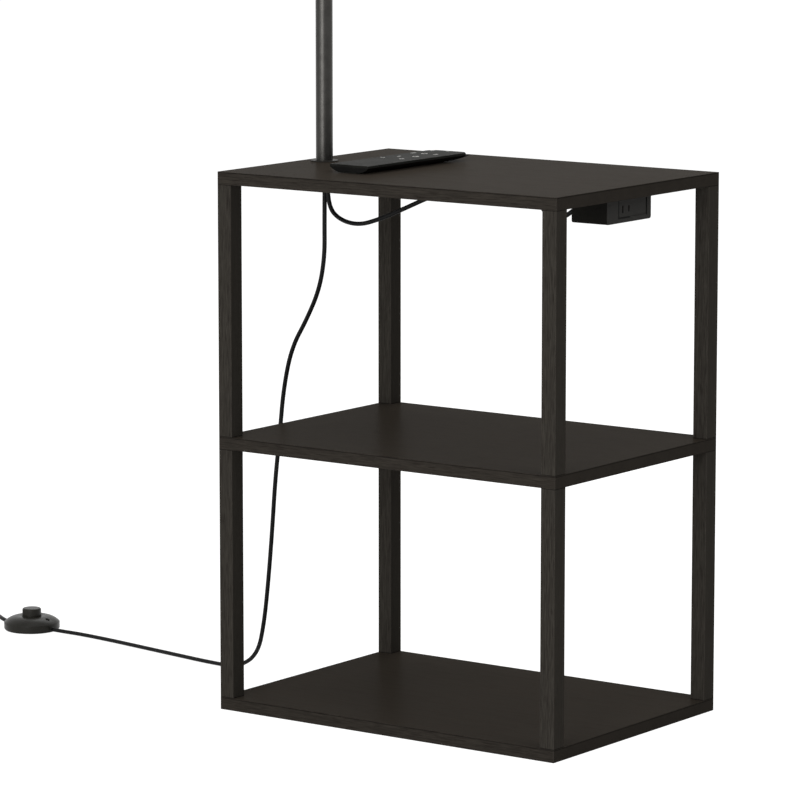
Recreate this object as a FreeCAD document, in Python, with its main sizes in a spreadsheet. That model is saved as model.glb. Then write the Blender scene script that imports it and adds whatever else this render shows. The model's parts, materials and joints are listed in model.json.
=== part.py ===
"""Shelf floor lamp: three boards on eight posts, a lamp pole through the top board's left end,
an outlet box under its right end, a foot switch in the mains lead and a remote control.

Millimetres, +Z up. The origin is the middle of the bottom board's underside, +X runs along the
long side towards the outlet box, and -Y is the front.
"""
import FreeCAD, Part
import math
import os
import re
import Sketcher
from FreeCAD import Placement, Rotation, Vector

# ---------------------------------------------------------------- driving dimensions

SIZES = {
    # shelf unit
    "unit_width": 480, "unit_depth": 340, "board_thickness": 15,
    "lower_bay": 300, "upper_bay": 300, "post_width": 19, "post_depth": 21,
    # its fasteners
    "stud_diameter": 6, "stud_in_board": 10, "stud_in_post": 20, "stud_gap": 0.15,
    "insert_diameter": 8.6, "insert_length": 14, "bore_end_gap": 0.5,
    "screw_head_diameter": 12, "screw_head_height": 5, "socket_key": 5, "socket_depth": 3,
    "counterbore_depth": 6, "stud_chamfer": 1, "head_edge": 0.8,
    # pole and what holds it to the top board
    "pole_inset": 29.2, "pole_diameter": 20.5, "pole_wall": 1, "thread_depth": 14, "thread_gap": 0.15,
    "neck_taper": 1,
    "lower_tube": 343.5, "upper_tube": 320,
    "nipple_diameter": 16, "nipple_bore": 12.6, "nipple_below": 12,
    "flange_diameter": 33.5, "flange_thickness": 1.5, "flange_edge": 0.5,
    "washer_diameter": 30, "washer_thickness": 1.5, "washer_edge": 0.3,
    "nut_across_flats": 24, "nut_height": 6,
    "bushing_rim_diameter": 20, "bushing_rim": 3, "bushing_edge": 0.6, "bushing_length": 13,
    "exit_shift": 2.9, "cord_spread": 5.2,
    # cords
    "cord_diameter": 5, "lead_diameter": 3.2, "lead_pitch": 3.4, "cord_gap": 0.2,
    "coil_heart": 20, "coil_pitch": 5.6, "coil_end_run": 10,
    # lampholder and bulb
    "cap_diameter": 36, "cap_height": 14, "cap_wall": 1.2, "shell_diameter": 35, "shell_height": 44,
    "shell_bore": 28.4, "shell_bore_depth": 36, "shell_spigot": 4, "shoulder_diameter": 38,
    "shoulder_height": 12, "shoulder_thickness": 3, "screw_shell_wall": 0.6, "screw_shell_height": 27,
    "screw_shell_bore": 18, "holder_edge": 1,
    "contact_width": 6, "contact_length": 8, "contact_height": 3, "contact_strip": 0.6, "holder_gap": 0.3,
    "shade_ring_diameter": 46, "shade_ring_height": 7,
    "bulb_base_diameter": 26, "bulb_base_length": 27, "bulb_tip_diameter": 9, "bulb_tip_height": 5,
    "bulb_edge": 1,
    "globe_diameter": 60, "globe_neck_diameter": 27, "globe_neck_length": 7, "globe_neck_bow": 1.4,
    "bulb_length": 98,
    # shade
    "shade_diameter": 300, "shade_height": 220, "shade_wall": 1.6, "shade_drop": 27,
    "fitter_diameter": 54, "fitter_thickness": 2, "frame_wire": 3.2, "arm_wire": 3,
    "trim_height": 10, "trim_thickness": 0.6,
    # outlet box
    "box_inset": 16, "box_shift": 2.5, "box_depth": 48.5, "box_length": 92, "box_height": 29,
    "box_wall": 2, "box_corner": 3, "faceplate_thickness": 2.5, "lip_depth": 3,
    "lip_wall": 1.2, "lip_gap": 0.2,
    "panel_left": -20.6, "panel_right": 36.9, "panel_under": 6, "panel_top": 25.2, "panel_recess": 0.6,
    "slot_middle": -5.9, "slot_spread": 12.7, "slot_width": 2.2, "long_slot": 8.8, "short_slot": 7,
    "slot_level": 15.4, "receptacle_length": 24, "receptacle_height": 19, "receptacle_depth": 20,
    "contact_room": 5.6, "contact_rise": 6, "contact_sheet": 0.7, "contact_reach": 12, "contact_gap": 0.3,
    "box_screw_spread": 60, "box_screw_diameter": 3.5, "box_screw_head": 7, "box_screw_rise": 2.2,
    "box_screw_length": 12,
    "relief_level": 12.5, "relief_length": 20, "relief_root": 9, "relief_tip": 6.4, "relief_rim": 12,
    "relief_collar": 2,
    # cord clip under the top board
    "clip_place": 25, "clip_width": 9, "clip_sheet": 1.2, "clip_tab": 9, "clip_screw": 3,
    "clip_screw_head": 6, "clip_screw_length": 10,
    # foot switch in the mains lead
    "switch_place_x": -731, "switch_place_y": 58.2, "switch_turn": -2,
    "switch_diameter": 72, "switch_height": 17.4, "switch_shoulder": 9.8, "switch_wall": 2,
    "dome_bow": 3.2, "dome_inner_bow": 2.7,
    "base_thickness": 2.4, "base_inset": 0.8, "base_rim": 3, "base_rim_wall": 2, "base_edge": 1,
    "button_diameter": 24.4, "button_top": 27.8, "button_wall": 1.8, "button_round": 2.2,
    "button_flange": 1.8, "button_skirt": 1.6, "button_gap": 0.35, "button_stop": 0.4, "button_travel": 3,
    "stem_diameter": 5,
    "spring_diameter": 12, "spring_wire": 1, "spring_turns": 5,
    "mechanism_width": 15, "mechanism_length": 26, "mechanism_height": 5.4, "guide_diameter": 8.6,
    "guide_height": 7, "terminal_length": 5, "terminal_width": 4, "terminal_thickness": 1,
    "clamp_screw_place": 27.5, "clamp_boss": 8, "clamp_boss_top": 13.1, "clamp_screw": 3, "clamp_head": 5.4,
    "clamp_head_rise": 2, "clamp_recess": 1.2, "clamp_foot": 7,
    "grommet_level": 3.6, "grommet_width": 7, "grommet_height": 6, "grommet_length": 5,
    # plug on the floor, beyond the coil
    "plug_width": 25, "plug_thickness": 16, "plug_length": 24, "plug_round": 3,
    "plug_relief": 22, "plug_relief_root": 11, "blade_thickness": 1.5, "blade_gap": 0.1,
    "blade_length": 16, "neutral_blade": 7.9, "line_blade": 6.3, "blade_root": 5,
    # remote control on the top board
    "remote_x": -101.5, "remote_y": 5, "remote_length": 205, "remote_width": 56,
    "remote_height": 9.6, "remote_lid": 2.8, "remote_keel": 22,
    "remote_rise": 45, "remote_bow": 1.6, "remote_rise_bow": 2.2, "remote_round": 12, "remote_edge": 0.6,
    "overlay_margin": 1.6, "overlay_thickness": 0.4, "rest_gap": 0.3,
    "door_length": 36, "door_width": 20, "door_thickness": 1.2, "door_gap": 0.3,
    "cell_diameter": 17, "cell_thickness": 3.2, "cell_gap": 0.4, "cell_setback": 18,
}

os.makedirs("parts", exist_ok=True)
doc = FreeCAD.newDocument("shelf_floor_lamp")
sheet = doc.addObject("Spreadsheet::Sheet", "Sizes")
for row, (alias, size) in enumerate(SIZES.items(), 1):
    sheet.set(f"A{row}", alias)
    sheet.set(f"B{row}", str(size))
    sheet.setAlias(f"B{row}", alias)
doc.recompute()

SUBPARTS = []


# ---------------------------------------------------------------- how pieces are drawn

def bound(text):
    """The same formula with each size's name pointing at its cell."""
    return re.sub(r"[a-z][a-z_]+", lambda m: "Sizes." + m[0] if m[0] in SIZES else m[0], str(text))


def value(text):
    """What a formula of sizes comes to, in millimetres."""
    return float(sheet.evalExpression(bound(text)))


def place(piece, x=0, y=0, z=0, turn=0, axis=(0, 0, 1)):
    """Stand a piece at x, y, z, turned about an axis through that point."""
    piece.Placement = Placement(Vector(), Rotation(Vector(*axis), value(turn)))
    for letter, text in zip("xyz", (x, y, z)):
        piece.setExpression(f"Placement.Base.{letter}", bound(text))


def subpart(name, kind="PartDesign::Body", **where):
    """A new sub-part, which is written to a file of its own name."""
    piece = doc.addObject(kind, name)
    piece.Label = name
    place(piece, **where)
    SUBPARTS.append(piece)
    return piece


def member(name, kind="PartDesign::Body", **where):
    """A piece that is written as part of a group."""
    piece = doc.addObject(kind, name)
    place(piece, **where)
    return piece


def group(name, members, kind="Part::Compound"):
    """Several separate pieces kept as one sub-part."""
    made = subpart(name, kind)
    made.Links = members
    return made


def origin_feature(body, role):
    return next(f for f in body.Origin.OriginFeatures if f.Role == role)


def sketch_on(body, plane, offset=0):
    """A sketch on one of the body's own planes, moved along that plane's normal."""
    sketch = body.newObject("Sketcher::SketchObject", f"{body.Name}_sketch")
    sketch.AttachmentSupport = [(origin_feature(body, plane), "")]
    sketch.MapMode = "FlatFace"
    sketch.setExpression("AttachmentOffset.Base.z", bound(offset))
    return sketch


def pin(sketch, geometry, point, x, y):
    """Hold a point of the sketch at x, y."""
    for kind, axis, text in (("DistanceX", -2, x), ("DistanceY", -1, y)):
        if str(text) == "0":
            sketch.addConstraint(Sketcher.Constraint("PointOnObject", geometry, point, axis))
            continue
        rule = Sketcher.Constraint(kind, -1, 1, geometry, point, value(text))
        held = sketch.addConstraint(rule)
        sketch.setExpression(f"Constraints[{held}]", bound(text))


def side(sketch, start, stop, rise):
    """One side of an outline. Returns its number and which of its points starts and ends it."""
    here = Vector(value(start[0]), value(start[1]), 0)
    there = Vector(value(stop[0]), value(stop[1]), 0)
    if rise is None:
        return sketch.addGeometry(Part.LineSegment(here, there)), 1, 2
    outward = not str(rise).startswith("-")
    rise = str(rise).lstrip("-")
    if not outward:
        here, there = there, here
    chord = there - here
    height = value(rise)
    radius = chord.Length ** 2 / (8 * height) + height / 2
    to_centre = Vector(-chord.y, chord.x, 0).normalize() * (radius - height)
    centre = (here + there) / 2 + to_centre
    from_angle = math.atan2(here.y - centre.y, here.x - centre.x)
    to_angle = math.atan2(there.y - centre.y, there.x - centre.x)
    if to_angle < from_angle:
        to_angle += 2 * math.pi
    circle_line = Part.Circle(centre, Vector(0, 0, 1), radius)
    number = sketch.addGeometry(Part.ArcOfCircle(circle_line, from_angle, to_angle))
    across = f"({stop[0]}-({start[0]}))^2+({stop[1]}-({start[1]}))^2"
    held = sketch.addConstraint(Sketcher.Constraint("Radius", number, radius))
    sketch.setExpression(f"Constraints[{held}]", bound(f"({across})/(8*({rise}))+({rise})/2"))
    return (number, 1, 2) if outward else (number, 2, 1)


def outline(sketch, corners):
    """A closed outline through corners of (x, y). A third value bows the side that starts there
    by that much, out of an outline drawn anticlockwise, or into it where it is negative."""
    sides = []
    for corner, after in zip(corners, corners[1:] + corners[:1]):
        sides.append(side(sketch, corner, after, corner[2] if len(corner) > 2 else None))
    for (number, _, end), (after, start, _) in zip(sides, sides[1:] + sides[:1]):
        sketch.addConstraint(Sketcher.Constraint("Coincident", number, end, after, start))
    for corner, (number, start, _) in zip(corners, sides):
        pin(sketch, number, start, corner[0], corner[1])
    return sketch


def circle(sketch, x, y, diameter):
    spot = Vector(value(x), value(y), 0)
    number = sketch.addGeometry(Part.Circle(spot, Vector(0, 0, 1), value(diameter) / 2))
    pin(sketch, number, 3, x, y)
    held = sketch.addConstraint(Sketcher.Constraint("Diameter", number, value(diameter)))
    sketch.setExpression(f"Constraints[{held}]", bound(diameter))
    return sketch


def block(sketch, x, y, width, height):
    """A rectangle about x, y."""
    left, right = f"{x}-({width})/2", f"{x}+({width})/2"
    low, high = f"{y}-({height})/2", f"{y}+({height})/2"
    return outline(sketch, [(left, low), (right, low), (right, high), (left, high)])


def hexagon(sketch, across_flats):
    """A hexagon about the origin, with a corner on each side along X."""
    corner = f"({across_flats})/sqrt(3)"
    half = f"({across_flats})/2"
    return outline(sketch, [(corner, 0), (f"{corner}/2", half), (f"-{corner}/2", half),
                            (f"-{corner}", 0), (f"-{corner}/2", f"-{half}"), (f"{corner}/2", f"-{half}")])


def quarter(radius):
    """How far a quarter circle bows from its chord."""
    return f"({radius})*(1-sqrt(2)/2)"


def feature(body, kind, sketch, **links):
    made = body.newObject(f"PartDesign::{kind}", f"{body.Name}_{kind.lower()}")
    made.Profile = (sketch, [""])
    for name, setting in links.items():
        setattr(made, name, setting)
    return made


def pad(body, sketch, length, back=False):
    made = feature(body, "Pad", sketch, Reversed=back)
    made.setExpression("Length", bound(length))
    return made


def pocket(body, sketch, depth, onward=False):
    """Cut against the sketch's normal, or along it where onward is set."""
    made = feature(body, "Pocket", sketch, Reversed=onward)
    made.setExpression("Length", bound(depth))
    return made


def revolve(body, sketch, kind="Revolution"):
    """Turn a profile, drawn in radius and height, round the body's own Z axis."""
    return feature(body, kind, sketch, ReferenceAxis=(sketch, ["V_Axis"]), Angle=360)


def turned(body, corners, kind="Revolution"):
    return revolve(body, outline(sketch_on(body, "XZ_Plane"), corners), kind)


def round_edges(body, radius, wanted):
    """Fillet the edges for which wanted(edge) holds."""
    doc.recompute()
    base = body.Tip
    names = [f"Edge{i}" for i, edge in enumerate(base.Shape.Edges, 1) if wanted(edge)]
    made = body.newObject("PartDesign::Fillet", f"{body.Name}_fillet")
    made.Base = (base, names)
    made.setExpression("Radius", bound(radius))
    return made


def repeat(body, *runs):
    """Repeat the whole body along one or two of its own axes: (axis, distance, count)."""
    made = body.newObject("PartDesign::LinearPattern", f"{body.Name}_pattern")
    made.TransformMode = "Whole shape"
    for (axis, distance, count), suffix in zip(runs, ("", "2")):
        setattr(made, f"Direction{suffix}", (origin_feature(body, f"{axis}_Axis"), [""]))
        made.setExpression(f"Length{suffix}", bound(distance))
        setattr(made, f"Occurrences{suffix}", count)
    body.Tip = made
    return made


def ring_of(body, count):
    """Repeat the whole body round its own Z axis."""
    made = body.newObject("PartDesign::PolarPattern", f"{body.Name}_ring")
    made.TransformMode = "Whole shape"
    made.Axis = (origin_feature(body, "Z_Axis"), [""])
    made.Angle = 360
    made.Occurrences = count
    body.Tip = made
    return made


def along(edge, direction, tolerance=1e-6):
    """Whether a straight edge runs along a direction."""
    if not isinstance(edge.Curve, Part.Line):
        return False
    return abs(abs(edge.tangentAt(edge.FirstParameter).dot(Vector(*direction))) - 1) < tolerance


# ---------------------------------------------------------------- levels and places shared by pieces

LOWER_FLOOR = "board_thickness"
MIDDLE_UNDERSIDE = "(board_thickness+lower_bay)"
UPPER_FLOOR = "(2*board_thickness+lower_bay)"
TOP_UNDERSIDE = "(2*board_thickness+lower_bay+upper_bay)"
TOP_FACE = "(3*board_thickness+lower_bay+upper_bay)"
POST_X = "(unit_width-post_width)/2"
POST_Y = "(unit_depth-post_depth)/2"
POST_ROWS = (("X", "unit_width-post_width", 2), ("Y", "unit_depth-post_depth", 2))
STUD_HOLE = "(stud_diameter+2*stud_gap)"
INSERT_BORE = "(insert_diameter+2*stud_gap)"
POLE_X = "(pole_inset-unit_width/2)"
POLE_FOOT = f"({TOP_FACE}+flange_thickness)"
POLE_JOINT = f"({POLE_FOOT}+lower_tube)"
POLE_TOP = f"({POLE_JOINT}+upper_tube)"
NIPPLE_HOLE = "(nipple_diameter+2*thread_gap)"


# ---------------------------------------------------------------- shelf unit

def corner_circles(sketch, diameter):
    for x in (f"-{POST_X}", POST_X):
        for y in (f"-{POST_Y}", POST_Y):
            circle(sketch, x, y, diameter)
    return sketch


def board(name, level):
    body = subpart(name, z=level)
    pad(body, block(sketch_on(body, "XY_Plane"), "0", "0", "unit_width", "unit_depth"), "board_thickness")
    return body


bottom_board = board("bottom_board", 0)
pocket(bottom_board, corner_circles(sketch_on(bottom_board, "XY_Plane"), STUD_HOLE), "board_thickness", True)
heads = corner_circles(sketch_on(bottom_board, "XY_Plane"), "screw_head_diameter+2*stud_gap")
pocket(bottom_board, heads, "counterbore_depth", True)

middle_board = board("middle_board", MIDDLE_UNDERSIDE)
pocket(middle_board, corner_circles(sketch_on(middle_board, "XY_Plane"), STUD_HOLE), "board_thickness", True)

top_board = board("top_board", TOP_UNDERSIDE)
blind_holes = corner_circles(sketch_on(top_board, "XY_Plane"), STUD_HOLE)
pocket(top_board, blind_holes, "stud_in_board+bore_end_gap", True)
pole_hole = circle(sketch_on(top_board, "XY_Plane"), POLE_X, "0", NIPPLE_HOLE)
pocket(top_board, pole_hole, "board_thickness", True)
pilot_holes = sketch_on(top_board, "XY_Plane")
BOX_MIDDLE = "(unit_width/2-box_inset-(box_depth+faceplate_thickness)/2)"
for shift in ("box_shift-box_screw_spread/2", "box_shift+box_screw_spread/2"):
    circle(pilot_holes, BOX_MIDDLE, shift, "box_screw_diameter+2*stud_gap")
pocket(top_board, pilot_holes, "box_screw_length-box_wall+bore_end_gap", True)


def post(name, x, y, level, length):
    """A post with a stepped bore in each end: a threaded insert's seat, then room for the stud."""
    body = subpart(name, x=x, y=y, z=level)
    pad(body, block(sketch_on(body, "XY_Plane"), "0", "0", "post_width", "post_depth"), length)
    for height, upward in ((0, True), (length, False)):
        stud_room = circle(sketch_on(body, "XY_Plane", height), "0", "0", STUD_HOLE)
        pocket(body, stud_room, "stud_in_post+bore_end_gap", upward)
        seat = circle(sketch_on(body, "XY_Plane", height), "0", "0", INSERT_BORE)
        pocket(body, seat, "insert_length", upward)


for tier, level, length in (("lower", LOWER_FLOOR, "lower_bay"), ("upper", UPPER_FLOOR, "upper_bay")):
    for row, y in (("front", f"-{POST_Y}"), ("rear", POST_Y)):
        for end, x in (("left", f"-{POST_X}"), ("right", POST_X)):
            post(f"{tier}_post_{row}_{end}", x, y, level, length)


def fastener_at_posts(name, level, make=subpart):
    return make(name, x=f"-{POST_X}", y=f"-{POST_Y}", z=level)


def stud(name, level, length):
    """Threaded studs, one in line with each post, chamfered at both ends."""
    body = fastener_at_posts(name, level)
    radius = "stud_diameter/2"
    turned(body, [
        ("0", "0"), (f"{radius}-stud_chamfer", "0"), (radius, "stud_chamfer"),
        (radius, f"{length}-stud_chamfer"), (f"{radius}-stud_chamfer", length), ("0", length)])
    repeat(body, *POST_ROWS)


stud("top_studs", f"{TOP_UNDERSIDE}-stud_in_post", "(stud_in_post+stud_in_board)")
stud("middle_studs", f"{MIDDLE_UNDERSIDE}-stud_in_post", "(2*stud_in_post+board_thickness)")

bottom_screws = fastener_at_posts("bottom_screws", "counterbore_depth-screw_head_height")
SHANK_END = "(screw_head_height+board_thickness-counterbore_depth+stud_in_post)"
turned(bottom_screws, [
    ("0", "0"), ("screw_head_diameter/2-head_edge", "0"), ("screw_head_diameter/2", "head_edge"),
    ("screw_head_diameter/2", "screw_head_height"), ("stud_diameter/2", "screw_head_height"),
    ("stud_diameter/2", f"{SHANK_END}-stud_chamfer"), ("stud_diameter/2-stud_chamfer", SHANK_END),
    ("0", SHANK_END)])
key_hole = hexagon(sketch_on(bottom_screws, "XY_Plane"), "socket_key")
pocket(bottom_screws, key_hole, "socket_depth", True)
repeat(bottom_screws, *POST_ROWS)


def insert_tier(name, level, bay):
    """Brass inserts, flush with both ends of a tier's four posts."""
    body = fastener_at_posts(name, level, member)
    ring = circle(sketch_on(body, "XY_Plane"), "0", "0", "insert_diameter")
    circle(ring, "0", "0", STUD_HOLE)
    pad(body, ring, "insert_length")
    repeat(body, ("Z", f"{bay}-insert_length", 2))
    repeat(body, *POST_ROWS)
    return body


group("post_inserts", [insert_tier("lower_inserts", LOWER_FLOOR, "lower_bay"),
                       insert_tier("upper_inserts", UPPER_FLOOR, "upper_bay")])


# ---------------------------------------------------------------- pole

def pole_tube(name, level, length):
    """A tube whose two ends are drawn in and threaded."""
    body = subpart(name, x=POLE_X, z=level)
    outer, inner, thread = "pole_diameter/2", "pole_diameter/2-pole_wall", f"{NIPPLE_HOLE}/2"
    turned(body, [
        (thread, "0"), (outer, "0"), (outer, length), (thread, length), (thread, f"{length}-thread_depth"),
        (inner, f"{length}-thread_depth-neck_taper"), (inner, "thread_depth+neck_taper"),
        (thread, "thread_depth")])


def hollow_stud(name, low, high):
    body = subpart(name, x=POLE_X, z=low)
    ring = circle(sketch_on(body, "XY_Plane"), "0", "0", "nipple_diameter")
    circle(ring, "0", "0", "nipple_bore")
    pad(body, ring, f"{high}-{low}")


def washer(name, level, diameter, thickness, edge):
    """A washer on the nipple, with its upper outer edge broken."""
    body = subpart(name, x=POLE_X, z=level)
    outer = f"{diameter}/2"
    turned(body, [(f"{NIPPLE_HOLE}/2", "0"), (outer, "0"), (outer, f"{thickness}-{edge}"),
                  (f"{outer}-{edge}", thickness), (f"{NIPPLE_HOLE}/2", thickness)])


pole_tube("pole_lower", POLE_FOOT, "lower_tube")
pole_tube("pole_upper", POLE_JOINT, "upper_tube")
hollow_stud("pole_coupler", f"({POLE_JOINT}-thread_depth)", f"({POLE_JOINT}+thread_depth)")
hollow_stud("pole_nipple", f"({TOP_UNDERSIDE}-nipple_below)", f"({POLE_FOOT}+thread_depth)")
washer("pole_flange", TOP_FACE, "flange_diameter", "flange_thickness", "flange_edge")
washer("pole_washer", f"{TOP_UNDERSIDE}-washer_thickness", "washer_diameter", "washer_thickness",
       "washer_edge")

pole_nut = subpart("pole_nut", x=POLE_X, z=f"{TOP_UNDERSIDE}-washer_thickness-nut_height")
pad(pole_nut, hexagon(sketch_on(pole_nut, "XY_Plane"), "nut_across_flats"), "nut_height")
pocket(pole_nut, circle(sketch_on(pole_nut, "XY_Plane"), "0", "0", NIPPLE_HOLE), "nut_height", True)

BUSHING_FOOT = f"({TOP_UNDERSIDE}-nipple_below-bushing_rim)"
cord_bushing = subpart("cord_bushing", x=POLE_X, z=BUSHING_FOOT)
turned(cord_bushing, [
    ("0", "0"), ("bushing_rim_diameter/2-bushing_edge", "0"), ("bushing_rim_diameter/2", "bushing_edge"),
    ("bushing_rim_diameter/2", "bushing_rim"), ("nipple_bore/2-thread_gap", "bushing_rim"),
    ("nipple_bore/2-thread_gap", "bushing_length"), ("0", "bushing_length")])

lamp_leads = subpart("lamp_leads", x=POLE_X, z=f"{BUSHING_FOOT}+bushing_length")
leads = sketch_on(lamp_leads, "XY_Plane")
for side_step in ("-lead_pitch/2", "lead_pitch/2"):
    circle(leads, side_step, "0", "lead_diameter")
SHELL_FOOT = f"({POLE_TOP}+cap_height-shell_spigot)"
pad(lamp_leads, leads, f"{SHELL_FOOT}-({BUSHING_FOOT}+bushing_length)")


# ---------------------------------------------------------------- lampholder and bulb

CAP_MOUTH = f"({POLE_TOP}+cap_height)"
SHELL_FLOOR = "(shell_height-shell_bore_depth)"
SHOULDER_TOP = "(shoulder_height+shoulder_thickness)"
RING_BORE = "(shell_diameter/2+holder_gap)"
CAP_INSIDE = "(cap_diameter/2-cap_wall)"
CAP_TURN = "(cap_height-shell_spigot-holder_gap)"

socket_cap = subpart("socket_cap", x=POLE_X, z=POLE_TOP)
turned(socket_cap, [
    ("nipple_bore/2", "-thread_depth"), ("nipple_diameter/2", "-thread_depth"),
    ("nipple_diameter/2", "0"), ("pole_diameter/2", "0"), ("pole_diameter/2", "cap_wall", "cap_wall"),
    ("cap_diameter/2", f"{CAP_TURN}-cap_wall/2"), ("cap_diameter/2", "cap_height"),
    (CAP_INSIDE, "cap_height"), (CAP_INSIDE, CAP_TURN, "-cap_wall"),
    ("pole_diameter/2-cap_wall", "2*cap_wall"), ("nipple_bore/2", "2*cap_wall")])

socket_shell = subpart("socket_shell", x=POLE_X, z=CAP_MOUTH)
SPIGOT = f"({CAP_INSIDE}-holder_gap)"
turned(socket_shell, [
    ("0", "-shell_spigot"), (SPIGOT, "-shell_spigot"), (SPIGOT, "0"), ("shell_diameter/2", "0"),
    ("shell_diameter/2", "shoulder_height"), ("shoulder_diameter/2", "shoulder_height"),
    ("shoulder_diameter/2", SHOULDER_TOP), ("shell_diameter/2", SHOULDER_TOP),
    ("shell_diameter/2", "shell_height-holder_edge"), ("shell_diameter/2-holder_edge", "shell_height"),
    ("shell_bore/2", "shell_height"), ("shell_bore/2", SHELL_FLOOR), ("0", SHELL_FLOOR)])

screw_shell = member("screw_shell", x=POLE_X, z=f"{CAP_MOUTH}+{SHELL_FLOOR}")
SHELL_INSIDE = "(bulb_base_diameter/2+holder_gap)"
turned(screw_shell, [
    ("screw_shell_bore/2", "0"), (f"{SHELL_INSIDE}+screw_shell_wall", "0"),
    (f"{SHELL_INSIDE}+screw_shell_wall", "screw_shell_height"), (SHELL_INSIDE, "screw_shell_height"),
    (SHELL_INSIDE, "screw_shell_wall"), ("screw_shell_bore/2", "screw_shell_wall")])

centre_contact = member("centre_contact", x=POLE_X, z=f"{CAP_MOUTH}+{SHELL_FLOOR}")
strip = sketch_on(centre_contact, "XZ_Plane", "-contact_width/2")
outline(strip, [
    ("-contact_length/2", "0"), ("contact_length/2", "0"), ("contact_length/2", "contact_strip"),
    ("-contact_length/2+contact_strip", "contact_strip"),
    ("-contact_length/2+contact_strip", "contact_height-contact_strip"),
    ("contact_length/2-contact_strip", "contact_height-contact_strip"),
    ("contact_length/2-contact_strip", "contact_height"),
    ("-contact_length/2", "contact_height")])
pad(centre_contact, strip, "contact_width")
group("socket_contacts", [screw_shell, centre_contact])

shade_ring = subpart("shade_ring", x=POLE_X, z=f"{CAP_MOUTH}+{SHOULDER_TOP}+fitter_thickness")
turned(shade_ring, [
    (RING_BORE, "0"), ("shade_ring_diameter/2", "0"),
    ("shade_ring_diameter/2", "shade_ring_height-holder_edge"),
    ("shade_ring_diameter/2-holder_edge", "shade_ring_height"), (RING_BORE, "shade_ring_height")])

BULB_FOOT = f"({CAP_MOUTH}+{SHELL_FLOOR}+contact_height+holder_gap)"
bulb_base = subpart("bulb_base", x=POLE_X, z=BULB_FOOT)
turned(bulb_base, [
    ("0", "0"), ("bulb_tip_diameter/2-bulb_edge", "0"), ("bulb_tip_diameter/2", "bulb_edge"),
    ("bulb_base_diameter/2-bulb_edge", "bulb_tip_height"),
    ("bulb_base_diameter/2", "bulb_tip_height+bulb_edge"),
    ("bulb_base_diameter/2", "bulb_base_length"), ("0", "bulb_base_length")])

bulb_globe = subpart("bulb_globe", x=POLE_X, z=BULB_FOOT)
NECK_TOP = "(bulb_base_length+globe_neck_length)"
turned(bulb_globe, [
    ("0", "bulb_base_length"), ("globe_neck_diameter/2", "bulb_base_length"),
    ("globe_neck_diameter/2", NECK_TOP, "-globe_neck_bow"),
    ("globe_diameter*cos(30)/2", "bulb_length-globe_diameter*3/4", "globe_diameter/4"),
    ("0", "bulb_length")])


# ---------------------------------------------------------------- shade

FITTER_FOOT = f"({CAP_MOUTH}+{SHOULDER_TOP})"
SHADE_INSIDE = "(shade_diameter/2-shade_wall)"
WIRE_RADIUS = f"({SHADE_INSIDE}-cord_gap-frame_wire/2)"

shade_fabric = subpart("shade_fabric", x=POLE_X, z=f"{FITTER_FOOT}-shade_drop")
drum = circle(sketch_on(shade_fabric, "XY_Plane"), "0", "0", "shade_diameter")
circle(drum, "0", "0", f"2*{SHADE_INSIDE}")
pad(shade_fabric, drum, "shade_height")

# A fitter ring on the lampholder's shoulder, three arms down to the lower wire ring, and the upper
# wire ring, which only the drum holds.
shade_frame = subpart("shade_frame", x=POLE_X, z=FITTER_FOOT)
WIRE_LEVEL = "(frame_wire/2-shade_drop)"
ARM_START = "(fitter_diameter/2-arm_wire)"
spine = sketch_on(shade_frame, "XZ_Plane")
run = spine.addGeometry(Part.LineSegment(Vector(value(ARM_START), value("fitter_thickness/2"), 0),
                                         Vector(value(WIRE_RADIUS), value(WIRE_LEVEL), 0)))
pin(spine, run, 1, ARM_START, "fitter_thickness/2")
pin(spine, run, 2, WIRE_RADIUS, WIRE_LEVEL)
section = circle(sketch_on(shade_frame, "YZ_Plane", ARM_START), "0", "fitter_thickness/2", "arm_wire")
feature(shade_frame, "AdditivePipe", section, Spine=(spine, ["Edge1"]))
ring_of(shade_frame, 3)
hoops = block(sketch_on(shade_frame, "XZ_Plane"), f"({RING_BORE}+fitter_diameter/2)/2",
              "fitter_thickness/2", f"fitter_diameter/2-{RING_BORE}", "fitter_thickness")
circle(hoops, WIRE_RADIUS, WIRE_LEVEL, "frame_wire")
circle(hoops, WIRE_RADIUS, "shade_height-shade_drop-frame_wire/2", "frame_wire")
revolve(shade_frame, hoops)

shade_trims = subpart("shade_trims", x=POLE_X, z=f"{FITTER_FOOT}-shade_drop")
band = circle(sketch_on(shade_trims, "XY_Plane"), "0", "0", "shade_diameter+2*(cord_gap+trim_thickness)")
circle(band, "0", "0", "shade_diameter+2*cord_gap")
pad(shade_trims, band, "trim_height")
repeat(shade_trims, ("Z", "shade_height-trim_height", 2))


# ---------------------------------------------------------------- outlet box

BOX_REAR = "(unit_width/2-box_inset-box_depth)"
BOX_FLOOR = f"({TOP_UNDERSIDE}-box_height)"
HOUSING = "(box_depth-faceplate_thickness)"
BOX_PLACE = {"x": BOX_REAR, "y": "box_shift", "z": BOX_FLOOR}


def lower_long_edge(edge):
    """Whether an edge runs front to rear of the box at its underside."""
    return along(edge, (1, 0, 0)) and edge.CenterOfMass.z < value("box_corner")


def box_slice(body, offset, length):
    """A length of the box's outside, with its two lower edges rounded."""
    section = block(sketch_on(body, "YZ_Plane", offset), "0", "box_height/2", "box_length", "box_height")
    pad(body, section, length)
    round_edges(body, "box_corner", lower_long_edge)


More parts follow.
